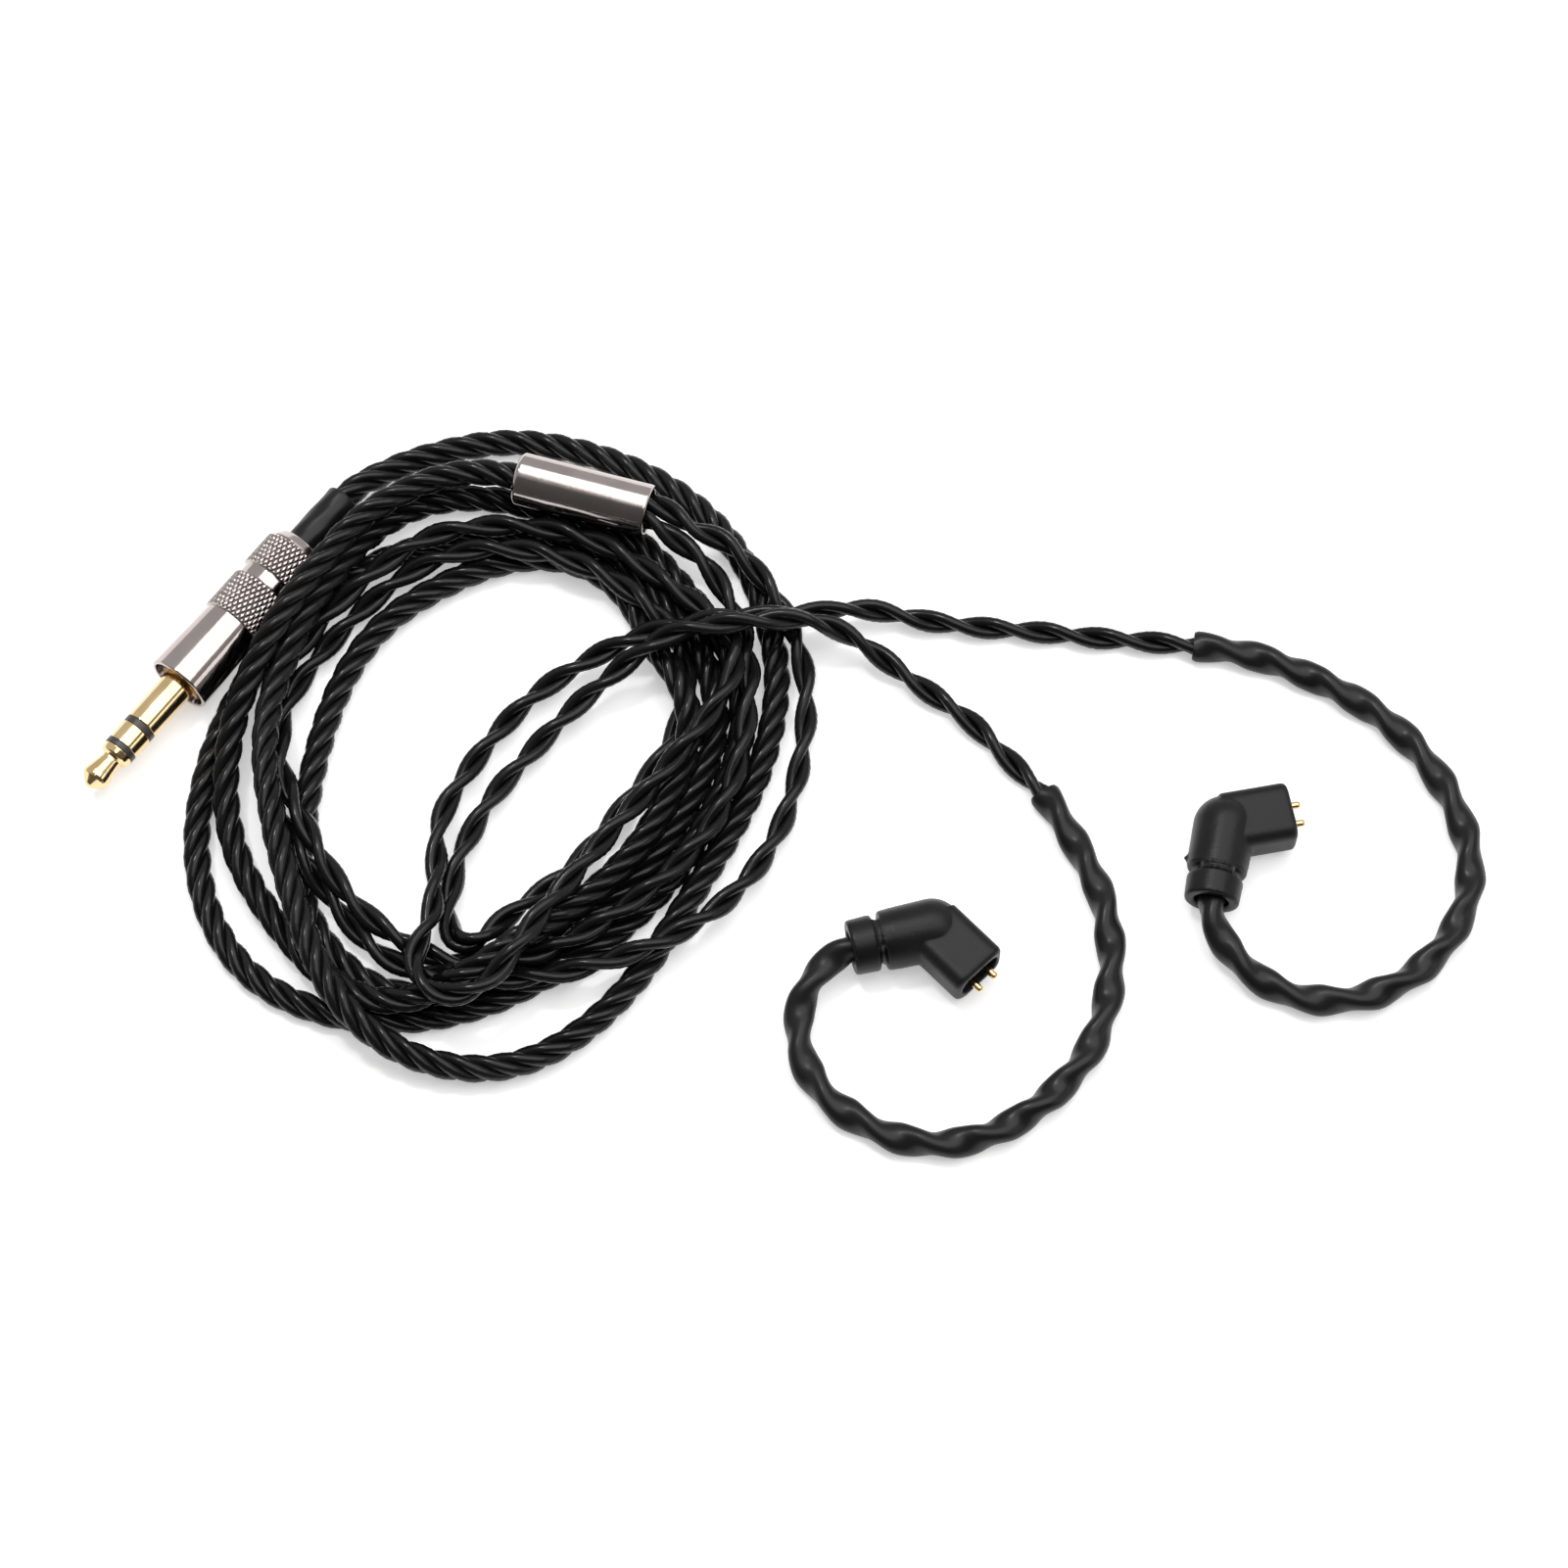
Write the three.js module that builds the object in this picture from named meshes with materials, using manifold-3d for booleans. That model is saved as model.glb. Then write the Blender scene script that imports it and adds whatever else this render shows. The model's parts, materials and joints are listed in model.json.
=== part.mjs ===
// Detachable cable for in-ear monitors, lying loosely coiled on a table.
//
// A 3.5 mm stereo plug, a four-strand main cable wound into one loose coil, a tubular splitter,
// and two twisted pairs that each end in an ear hook and an angled two-pin connector.
//
// Units are millimetres and +Z is up. The pieces are placed in a bench frame, and the whole group
// is moved once at the end, so that the origin is under the middle of the cable's rigid pieces.

import * as THREE from 'three';
import { mergeVertices } from 'three/addons/utils/BufferGeometryUtils.js';
import Module from 'manifold-3d';

const wasm = await Module();
wasm.setup();

// ---------------------------------------------------------------------------------------------
// Driving dimensions
// ---------------------------------------------------------------------------------------------

// Move from the bench frame to the part's own frame.
const BENCH_SHIFT = [0.33, 2.9, 0];

// Cable thicknesses.
const MAIN_CABLE_RADIUS = 1.35;
const PAIR_RADIUS = 1.0;
const EAR_HOOK_RADIUS = 1.4;

// Clearances: running fits between turned pieces, and the gap between laid-together pieces.
const FIT = 0.05;
const GAP = 0.3;

// Facets round a turned piece: outside pieces and pieces hidden inside others.
const SIDES_SEEN = 24;
const SIDES_HIDDEN = 16;

// Plug: stations along its axis, measured from the tip of the pin.
const PLUG_TIP_AT = [-69.83, -1.79, 3.4];
const PLUG_YAW = 53;
const PIN_RADIUS = 1.75;
const TIP_NOSE_END = 0.9;
const TIP_WAIST = 3.6;
const TIP_END = 4.75;
const RING_START = 5.35;
const RING_END = 7.55;
const SLEEVE_START = 8.3;
const PIN_LENGTH = 14.1;
const PLUG_BODY_RADIUS = 2.6;
const PLUG_BODY_END = 18.6;
const BARREL_LENGTH = 19.5;
const BARREL_RADIUS = 3.25;
const BARREL_BORE = 2.7;
const KNURL_RADIUS = 3.4;
const KNURL_FRONT = [22.5, 27.2];
const KNURL_REAR = [28.6, 32.5];
const STRAIN_RELIEF_RADIUS = 1.88;
const STRAIN_RELIEF_START = 28.5;
const STRAIN_RELIEF_END = 40.6;

// Concentric rods and sleeves inside the pin, from the axis outwards.
const TIP_ROD = 0.4;
const TIP_SLEEVE = 0.7;
const RING_TUBE = 1.0;
const RING_SLEEVE = 1.25;

// Splitter: a plain tube lying across the top of the coil.
const SPLITTER_AT = [-27.5, 32.13, 5.45];
const SPLITTER_YAW = -16;
const SPLITTER_LENGTH = 14.2;
const SPLITTER_RADIUS = 2.75;
const SPLITTER_BORE = 2.3;
const PAIR_SPACING = 2.1;

// Connectors: an elbow of a round boot and a flat block with two pins.
const BOOT_LENGTH = 8.3;
const BOOT_RADIUS = 3.15;
const COLLAR_RADIUS = 2.85;
const BLOCK_LENGTH = 6.8;
const BLOCK_WIDTH = 6.2;
const BLOCK_THICKNESS = 4.9;
const SOCKET_WIDTH = 4.7;
const SOCKET_HEIGHT = 2.8;
const SOCKET_DEPTH = 4.1;
const CONTACT_RADIUS = 0.39;
const CONTACT_SPACING = 2.0;
const CONTACT_LENGTH = 4.7;
const CONTACT_PROUD = 0.8;
const CONNECTORS = {
  left: { elbow: [14.6, -17.2, 3.15], blockYaw: -46, turn: 59.5 },
  right: { elbow: [44.0, -6.1, 3.15], blockYaw: 10.5, turn: 68 },
};

// Coil: the outer and inner outlines of the loose bundle, and the height of its solid.
const COIL_HEIGHT = 5.6;
const COIL_EDGE = 1.2;
const COIL_OUTLINE = [
  [-30, 39.7], [-25, 39.3], [-20, 38.3], [-15, 36.3], [-10.5, 33.4], [-6.5, 29.8], [-3.2, 25.3],
  [-0.6, 20.5], [2.0, 16], [3.2, 11], [3.4, 6], [2.6, 1], [0.8, -4], [-1.6, -8.8], [-5, -13],
  [-8.8, -16.8], [-12, -20.5], [-15.5, -25], [-20.5, -29.2], [-26, -31.6], [-31, -32.5],
  [-36, -31.8], [-40.5, -29.8], [-45, -27.6], [-50, -25], [-54.6, -21], [-58, -15.5],
  [-60.1, -9.5], [-60.4, -3.5], [-59.2, 1.6], [-57.4, 6.2], [-54.9, 11.0], [-51.9, 15.8],
  [-49.2, 19.4], [-46.9, 22.6], [-44.9, 26.4], [-42.0, 29.8], [-38.5, 32.6], [-34, 34.9],
  [-30, 35.9],
];
const COIL_HOLE = [
  [-32, 22.2], [-28, 23.4], [-24, 23.5], [-20, 22], [-16, 19.5], [-13.4, 16.2], [-12, 12],
  [-12.6, 7.5], [-14.4, 3], [-16.6, -1.5], [-19.4, -6], [-22.6, -10.4], [-25.8, -14.4],
  [-28.8, -17.6], [-32.4, -19.2], [-36, -18.9], [-39.2, -16.8], [-42, -14], [-44.6, -11],
  [-46.3, -7.2], [-46.8, -2.5], [-46, 3], [-44.4, 8.5], [-42.2, 13], [-39.4, 17.2],
  [-36, 20.4],
];

// Free stretches of cord, as points chosen by hand along each centreline.
const MAIN_LEAD_ROUTE = [
  [-44.3, 32.1, 3.3], [-43.0, 33.4, 2.9], [-41.3, 34.8, 2.3], [-39, 35.9, 1.8], [-36.3, 36.9, 1.45],
  [-33.4, 37.6, 1.4], [-30.3, 38.1, 1.4],
];
const RIGHT_BRANCH_ROUTE = [
  [-35.5, -17.9, 2.6], [-35.7, -15.4, 1.5], [-35.7, -12.8, 1.1], [-35.6, -10.4, 1.1],
  [-35.4, -7.8, 1.1], [-35, -5, 1.1], [-34.2, -2.2, 1.1], [-32.8, 0.6, 1.1], [-31, 3.4, 1.1],
  [-28.8, 6, 1.3], [-26.2, 8.3, 1.9], [-23.3, 10.3, 3], [-20.3, 11.9, 4.5], [-17, 13.3, 6],
  [-13.8, 14.6, 7], [-10.4, 15.8, 7.2], [-6.9, 16.9, 7.2], [-3.3, 17.8, 7.2], [0.3, 18.3, 6.9],
  [3.7, 18.7, 5.6], [7, 18.7, 3.7], [10.4, 18.2, 2], [14.2, 17.5, 1.2], [18.6, 17, 1.1],
  [23.2, 16.7, 1.1], [27.6, 16.3, 1.1], [32, 15.8, 1.1], [36.6, 15.4, 1.1], [41.1, 14.9, 1.3],
];
const LEFT_BRANCH_ROUTE = [
  [-32.7, -17.9, 2.6], [-32.9, -15.4, 1.5], [-33, -12.8, 1.1], [-32.9, -10.4, 1.1],
  [-32.4, -7.9, 1.1], [-31.4, -5.4, 1.1], [-29.9, -3, 1.1], [-28.2, -0.6, 1.1], [-26.4, 1.8, 1.2],
  [-24.4, 4.1, 1.6], [-22.2, 6.3, 2.5], [-19.7, 8.3, 3.9], [-17, 10, 5.4], [-14.2, 11.5, 6.7],
  [-11.2, 12.9, 7.2], [-7.8, 14.1, 7.2], [-4.2, 15.1, 7.2], [-0.7, 15.8, 7.2], [2.8, 16.1, 6.3],
  [5.9, 15.7, 4], [8.6, 14.7, 1.9], [11.2, 13, 1.1], [14, 10.8, 1.1], [16.8, 8.4, 1.1],
  [19.2, 6, 1.1], [21.4, 3.6, 1.1], [23.6, 1.1, 1.1], [25.5, -1, 1.3],
];
const RIGHT_HOOK_ROUTE = [
  [41.8, 14.8, 1.4], [46.7, 14, 1.4], [51.3, 12.4, 1.4], [55.7, 10.2, 1.4], [59.6, 7.6, 1.4],
  [62.9, 4.5, 1.4], [65.6, 0.7, 1.4], [67.5, -3.3, 1.4], [68.5, -7.6, 1.4], [68.4, -11.7, 1.4],
  [67, -15.7, 1.4], [64.5, -19.2, 1.4], [61.1, -22, 1.4], [57.3, -23.6, 1.4], [53.2, -24, 1.4],
  [49.4, -23.2, 1.5], [46.2, -21.3, 1.9], [43.9, -18.9, 2.5], [42.6, -16.3, 3],
];
const LEFT_HOOK_ROUTE = [
  [26.1, -1.6, 1.4], [28.1, -5, 1.4], [29.9, -8.6, 1.4], [31.4, -12.2, 1.4], [32.2, -16, 1.4],
  [32.4, -20.6, 1.4], [31.6, -25.2, 1.4], [30, -29.2, 1.4], [27.5, -32.6, 1.4], [24.4, -35.4, 1.4],
  [20.4, -37.8, 1.4], [15.8, -38.9, 1.4], [11.3, -38.4, 1.4], [7.7, -36.8, 1.4], [4.5, -34.4, 1.4],
  [2.4, -31.4, 1.4], [1.5, -28.2, 1.5], [1.6, -25, 1.8], [2.7, -22.4, 2.4], [4.5, -20.4, 2.9],
];

// ---------------------------------------------------------------------------------------------
// Materials
// ---------------------------------------------------------------------------------------------

function finish(color, roughness, metalness) {
  return new THREE.MeshStandardMaterial({ color, roughness, metalness });
}

const MATERIALS = {
  gold: finish(0xe2c27e, 0.18, 1),
  gunmetal: finish(0x9c9490, 0.2, 1),
  nickel: finish(0xb8b4ae, 0.3, 1),
  insulator: finish(0x4a4440, 0.5, 0),
  fibre: finish(0x8a5a3a, 0.8, 0),
  heatShrink: finish(0x1c1c1d, 0.45, 0),
  jacket: finish(0x151515, 0.3, 0),
  overmould: finish(0x1d1d1e, 0.5, 0),
};

// ---------------------------------------------------------------------------------------------
// Shape helpers
// ---------------------------------------------------------------------------------------------

const radians = THREE.MathUtils.degToRad;

// Keeps only the positions, joins equal corners and drops triangles that collapsed to a line.
function welded(geometry) {
  const bare = geometry.clone();
  bare.deleteAttribute('normal');
  bare.deleteAttribute('uv');
  const merged = mergeVertices(bare, 1e-4);
  const kept = [];
  for (let i = 0; i < merged.index.count; i += 3) {
    const corners = [0, 1, 2].map((k) => merged.index.getX(i + k));
    if (new Set(corners).size === 3) kept.push(...corners);
  }
  merged.setIndex(kept);
  return merged;
}

// Six times the signed volume: negative when the faces point inwards.
function signedVolume(geometry) {
  const corner = [0, 1, 2].map(() => new THREE.Vector3());
  let total = 0;
  for (let i = 0; i < geometry.index.count; i += 3) {
    corner.forEach((c, k) => c.fromBufferAttribute(geometry.attributes.position, geometry.index.getX(i + k)));
    total += corner[0].dot(corner[1].clone().cross(corner[2]));
  }
  return total;
}

// A closed body with its faces pointing out.
function closed(geometry) {
  const body = welded(geometry);
  if (signedVolume(body) < 0) body.setIndex([...body.index.array].reverse());
  return body;
}

function toSolid(geometry) {
  const body = closed(geometry);
  return new wasm.Manifold(new wasm.Mesh({
    numProp: 3,
    vertProperties: new Float32Array(body.attributes.position.array),
    triVerts: new Uint32Array(body.index.array),
  }));
}

function toGeometry(solid) {
  const mesh = solid.getMesh();
  const geometry = new THREE.BufferGeometry();
  geometry.setAttribute('position', new THREE.BufferAttribute(new Float32Array(mesh.vertProperties), 3));
  geometry.setIndex([...mesh.triVerts]);
  return geometry;
}

function joined(...geometries) {
  return toGeometry(geometries.map(toSolid).reduce((whole, piece) => whole.add(piece)));
}

function cut(geometry, ...tools) {
  return toGeometry(tools.map(toSolid).reduce((rest, tool) => rest.subtract(tool), toSolid(geometry)));
}

// A body turned about the X axis from [x, radius] pairs.
function turned(profile, sides = SIDES_SEEN) {
  const points = profile.map(([x, radius]) => new THREE.Vector2(radius, x));
  return closed(new THREE.LatheGeometry(points, sides).rotateZ(-Math.PI / 2));
}

// A turned tube or washer: its profile closes on itself.
function turnedTube(start, end, inner, outer, sides = SIDES_HIDDEN) {
  return turned([[start, inner], [start, outer], [end, outer], [end, inner], [start, inner]], sides);
}

function turnedRod(start, end, radius, sides = SIDES_HIDDEN) {
  return turned([[start, 0], [start, radius], [end, radius], [end, 0]], sides);
}

function box(from, to) {
  const size = to.map((value, k) => value - from[k]);
  const middle = to.map((value, k) => (value + from[k]) / 2);
  return new THREE.BoxGeometry(...size).translate(...middle);
}

// A bar along X with a rounded-rectangle section: width along Y and height along Z.
function roundedBar(start, end, width, height, corner, options = {}) {
  const halfWidth = width / 2 - corner;
  const halfHeight = height / 2 - corner;
  const shape = new THREE.Shape();
  shape.absarc(halfHeight, halfWidth, corner, 0, Math.PI / 2);
  shape.absarc(-halfHeight, halfWidth, corner, Math.PI / 2, Math.PI);
  shape.absarc(-halfHeight, -halfWidth, corner, Math.PI, 1.5 * Math.PI);
  shape.absarc(halfHeight, -halfWidth, corner, 1.5 * Math.PI, 2 * Math.PI);
  const bar = new THREE.ExtrudeGeometry(shape, {
    depth: end - start, steps: 1, bevelEnabled: false, curveSegments: 5, ...options,
  });
  return bar.rotateY(Math.PI / 2).translate(start, 0, 0);
}

// A round cord or sleeve along a smooth curve through the points.
function routed(points, radius, sides, steps) {
  const curve = new THREE.CatmullRomCurve3(points.map((p) => new THREE.Vector3(...p)), false, 'centripetal');
  const section = new THREE.Shape();
  for (let i = 0; i < sides; i += 1) {
    const angle = (2 * Math.PI * i) / sides;
    const corner = [radius * Math.cos(angle), radius * Math.sin(angle)];
    if (i === 0) section.moveTo(...corner);
    else section.lineTo(...corner);
  }
  section.closePath();
  return closed(new THREE.ExtrudeGeometry(section, { steps, extrudePath: curve, bevelEnabled: false }));
}

function named(name, geometry, material) {
  const mesh = new THREE.Mesh(geometry, material);
  mesh.name = name;
  return mesh;
}

// ---------------------------------------------------------------------------------------------
// Plug: every piece runs along +X from the tip of the pin
// ---------------------------------------------------------------------------------------------

function plugContacts() {
  const tip = turned([
    [0, 0], [0.1, 0.4], [TIP_NOSE_END, 1.4], [TIP_NOSE_END + 0.3, 1.46], [TIP_WAIST, 1.08],
    [TIP_WAIST + 0.3, 1.55], [TIP_END, PIN_RADIUS - 0.03], [TIP_END, TIP_ROD], [21.7, TIP_ROD], [21.7, 0],
  ]);
  const ring = turned([
    [RING_START + FIT, TIP_SLEEVE + FIT], [RING_START + FIT, PIN_RADIUS], [RING_END, PIN_RADIUS],
    [RING_END, RING_TUBE], [20.2, RING_TUBE], [20.2, TIP_SLEEVE + FIT],
    [RING_START + FIT, TIP_SLEEVE + FIT],
  ]);
  const bodyBore = RING_SLEEVE + FIT;
  const sleeve = turned([
    [SLEEVE_START + FIT, bodyBore], [SLEEVE_START + FIT, PIN_RADIUS], [PIN_LENGTH + 0.5, PIN_RADIUS],
    [PIN_LENGTH + 0.15, 2.45], [PIN_LENGTH + 0.35, PLUG_BODY_RADIUS], [PLUG_BODY_END, PLUG_BODY_RADIUS],
    [PLUG_BODY_END, bodyBore], [SLEEVE_START + FIT, bodyBore],
  ]);
  return [
    named('plug_tip_contact', tip, MATERIALS.gold),
    named('plug_ring_contact', ring, MATERIALS.gold),
    named('plug_sleeve_contact', sleeve, MATERIALS.gold),
  ];
}

function plugInsulators() {
  const tipInsulator = turned([
    [TIP_END + FIT, TIP_ROD + FIT], [TIP_END + FIT, PIN_RADIUS - 0.05], [RING_START, PIN_RADIUS - 0.05],
    [RING_START, TIP_SLEEVE], [21.1, TIP_SLEEVE], [21.1, TIP_ROD + FIT], [TIP_END + FIT, TIP_ROD + FIT],
  ]);
  const ringInsulator = turned([
    [RING_END + FIT, RING_TUBE + FIT], [RING_END + FIT, PIN_RADIUS - 0.05], [SLEEVE_START, PIN_RADIUS - 0.05],
    [SLEEVE_START, RING_SLEEVE], [19.1, RING_SLEEVE], [19.1, RING_TUBE + FIT],
    [RING_END + FIT, RING_TUBE + FIT],
  ]);
  return [
    named('plug_tip_insulator', tipInsulator, MATERIALS.insulator),
    named('plug_ring_insulator', ringInsulator, MATERIALS.insulator),
    named('plug_washer_front', turnedTube(19.15, 19.75, RING_TUBE + FIT, 1.9), MATERIALS.fibre),
    named('plug_washer_rear', turnedTube(20.6, 21.15, TIP_SLEEVE + FIT, 1.4), MATERIALS.fibre),
  ];
}

// The solder tags behind the plug's body: each is a washer with a flat tail.
function plugSolderTags() {
  const tipTag = joined(
    turnedTube(21.2, 21.5, TIP_ROD + FIT, 1.3),
    box([21.3, -0.5, 0.8], [24.4, 0.5, 1.1]),
  );
  const ringTag = joined(
    turnedTube(19.8, 20.15, RING_TUBE + FIT, 1.85),
    box([19.9, -0.5, 1.5], [23, 0.5, 1.8]),
  );
  const crimp = cut(
    turnedTube(25, 27.4, MAIN_CABLE_RADIUS + 0.15, MAIN_CABLE_RADIUS + 0.5),
    box([24, -1.3, 0.6], [28, 1.3, 3]),
  );
  const groundTag = joined(
    turnedTube(PLUG_BODY_END + FIT, 19.1, RING_SLEEVE + FIT, 2.4),
    box([18.8, -0.9, -2.3], [24.6, 0.9, -2]),
    box([24.4, -0.9, -2.3], [25.4, 0.9, -1.6]),
    crimp,
  );
  return [
    named('plug_tip_solder_tag', tipTag, MATERIALS.nickel),
    named('plug_ring_solder_tag', ringTag, MATERIALS.nickel),
    named('plug_ground_clamp', groundTag, MATERIALS.nickel),
  ];
}

// The knurled barrel screws over the plug's body from behind.
function plugBarrel() {
  const front = PIN_LENGTH;
  const rear = PIN_LENGTH + BARREL_LENGTH;
  const profile = [
    [front, 2.8], [front, 3.12], [front + 0.2, BARREL_RADIUS], [KNURL_FRONT[0], BARREL_RADIUS],
    [KNURL_FRONT[0], KNURL_RADIUS], [KNURL_FRONT[1], KNURL_RADIUS], [KNURL_FRONT[1], 3.1],
    [KNURL_REAR[0], 3.1], [KNURL_REAR[0], KNURL_RADIUS], [KNURL_REAR[1], KNURL_RADIUS],
    [KNURL_REAR[1], 3.2], [rear - 0.2, 2.7], [rear, 2.5], [rear, STRAIN_RELIEF_RADIUS + GAP],
    [rear - 1, STRAIN_RELIEF_RADIUS + GAP], [rear - 1.4, BARREL_BORE], [front + 0.4, BARREL_BORE],
    [front, 2.8],
  ];
  return named('plug_barrel', turned(profile), MATERIALS.gunmetal);
}

function plugCableEnd() {
  const sleeve = turnedTube(
    STRAIN_RELIEF_START, STRAIN_RELIEF_END, MAIN_CABLE_RADIUS + FIT, STRAIN_RELIEF_RADIUS, SIDES_SEEN,
  );
  const cable = turnedRod(25.1, STRAIN_RELIEF_END + 0.2, MAIN_CABLE_RADIUS - 0.05);
  return [
    named('plug_strain_relief', sleeve, MATERIALS.heatShrink),
    named('main_cable_plug_end', cable, MATERIALS.jacket),
  ];
}

function plug() {
  const group = new THREE.Group();
  group.add(...plugContacts(), ...plugInsulators(), ...plugSolderTags(), plugBarrel(), ...plugCableEnd());
  group.position.set(...PLUG_TIP_AT);
  group.rotation.z = radians(PLUG_YAW);
  return group;
}

// ---------------------------------------------------------------------------------------------
// Splitter: the main cable enters at x = 0 and the two pairs leave at the far end
// ---------------------------------------------------------------------------------------------

function splitterShell() {
  const end = SPLITTER_LENGTH;
  return turned([
    [0, MAIN_CABLE_RADIUS + 0.15], [0, 2.35], [0.4, SPLITTER_RADIUS], [end - 0.15, SPLITTER_RADIUS],
    [end, 2.6], [end, SPLITTER_BORE], [1, SPLITTER_BORE], [1, MAIN_CABLE_RADIUS + 0.15],
    [0, MAIN_CABLE_RADIUS + 0.15],
  ]);
}

// The plug that closes the branch end, with one oval slot for both pairs.
function splitterInsert() {
  const disc = turnedRod(SPLITTER_LENGTH - 1.7, SPLITTER_LENGTH - 0.5, SPLITTER_BORE - 0.1, SIDES_SEEN);
  const slot = roundedBar(
    SPLITTER_LENGTH - 3, SPLITTER_LENGTH + 1, PAIR_SPACING + 2 * PAIR_RADIUS + 0.2, 2.2, 1.09,
  );
  return cut(disc, slot);
}

function splitter() {
  const group = new THREE.Group();
  group.add(
    named('splitter_shell', splitterShell(), MATERIALS.gunmetal),
    named('splitter_insert', splitterInsert(), MATERIALS.insulator),
    named('splitter_splice', turnedRod(3.9, 11.4, 1.9), MATERIALS.heatShrink),
    named('main_cable_splitter_end', turnedRod(0.1, 3.7, MAIN_CABLE_RADIUS - 0.05), MATERIALS.jacket),
  );
  for (const [side, offset] of [['left', -PAIR_SPACING / 2], ['right', PAIR_SPACING / 2]]) {
    const end = turnedRod(11.6, SPLITTER_LENGTH - 0.1, PAIR_RADIUS - 0.05).translate(0, offset, 0);
    group.add(named(`${side}_branch_splitter_end`, end, MATERIALS.jacket));
  }
  group.position.set(...SPLITTER_AT);
  group.rotation.z = radians(SPLITTER_YAW);
  return group;
}

// ---------------------------------------------------------------------------------------------
// Connectors: the block runs along +X from the elbow, and the boot comes in from behind
// ---------------------------------------------------------------------------------------------

function connectorBoot(turn) {
  const groove = [2.3, 3.3];
  const mouth = EAR_HOOK_RADIUS + 0.35;
  const profile = [
    [1.9, 0], [1.9, mouth], [0, mouth], [0, COLLAR_RADIUS - 0.3], [0.3, COLLAR_RADIUS],
    [groove[0], COLLAR_RADIUS], [groove[0], COLLAR_RADIUS - 0.5], [groove[1], COLLAR_RADIUS - 0.5],
    [groove[1], COLLAR_RADIUS + 0.15], [BOOT_LENGTH, BOOT_RADIUS],
  ];
  const domeSteps = 6;
  for (let i = 1; i <= domeSteps; i += 1) {
    const angle = (Math.PI / 2) * (i / domeSteps);
    profile.push([BOOT_LENGTH + BOOT_RADIUS * Math.sin(angle), Math.max(0, BOOT_RADIUS * Math.cos(angle))]);
  }
  profile[profile.length - 1][1] = 0;
  return turned(profile).translate(-BOOT_LENGTH, 0, 0).rotateZ(radians(turn));
}

function connectorBody(turn) {
  const block = roundedBar(0, BLOCK_LENGTH - 0.4, BLOCK_WIDTH - 0.8, BLOCK_THICKNESS - 0.8, 0.9, {
    bevelEnabled: true, bevelThickness: 0.4, bevelSize: 0.4, bevelSegments: 1, curveSegments: 4,
  });
  const socket = roundedBar(BLOCK_LENGTH - SOCKET_DEPTH, BLOCK_LENGTH + 1, SOCKET_WIDTH, SOCKET_HEIGHT, 1.35);
  return cut(joined(connectorBoot(turn), block), socket);
}

// The hard insert at the bottom of the socket, which holds the two contacts.
function contactCarrier() {
  const start = BLOCK_LENGTH - SOCKET_DEPTH + GAP;
  const end = BLOCK_LENGTH - 1;
  const bar = roundedBar(start, end, SOCKET_WIDTH - 2 * GAP, SOCKET_HEIGHT - 2 * GAP, 1.05);
  const holes = [-1, 1].map((side) => (
    turnedRod(start - 1, end + 1, CONTACT_RADIUS + 0.12, 12).translate(0, (side * CONTACT_SPACING) / 2, 0)
  ));
  return cut(bar, ...holes);
}

function contactPin(offset) {
  const end = BLOCK_LENGTH + CONTACT_PROUD;
  const profile = [
    [end - CONTACT_LENGTH, 0], [end - CONTACT_LENGTH, CONTACT_RADIUS], [end - 0.2, CONTACT_RADIUS],
    [end, CONTACT_RADIUS - 0.15], [end, 0],
  ];
  return turned(profile, 12).translate(0, offset, 0);
}

function connector(side) {
  const { elbow, blockYaw, turn } = CONNECTORS[side];
  const group = new THREE.Group();
  group.add(
    named(`${side}_connector_body`, connectorBody(turn), MATERIALS.overmould),
    named(`${side}_contact_carrier`, contactCarrier(), MATERIALS.insulator),
    named(`${side}_signal_pin`, contactPin(CONTACT_SPACING / 2), MATERIALS.gold),
    named(`${side}_return_pin`, contactPin(-CONTACT_SPACING / 2), MATERIALS.gold),
  );
  group.position.set(...elbow);
  group.rotation.z = radians(blockYaw);
  return group;
}

// An ear hook ends inside its connector's boot, on the boot's axis.
function earHook(side, route) {
  const { elbow, blockYaw, turn } = CONNECTORS[side];
  const bootYaw = radians(blockYaw + turn);
  const inside = BOOT_LENGTH - 1.4;
  const end = [elbow[0] - inside * Math.cos(bootYaw), elbow[1] - inside * Math.sin(bootYaw), elbow[2]];
  const mouth = [end[0] - 1.6 * Math.cos(bootYaw), end[1] - 1.6 * Math.sin(bootYaw), elbow[2]];
  return named(`${side}_ear_hook`, routed([...route, mouth, end], EAR_HOOK_RADIUS, 10, 26), MATERIALS.heatShrink);
}

// ---------------------------------------------------------------------------------------------
// Coil and free stretches of cord
// ---------------------------------------------------------------------------------------------

function outline(Kind, points) {
  const [first, ...rest] = points.map(([x, y]) => new THREE.Vector2(x, y));
  const shape = new Kind();
  shape.moveTo(first.x, first.y);
  shape.splineThru(rest);
  return shape;
}

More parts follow.
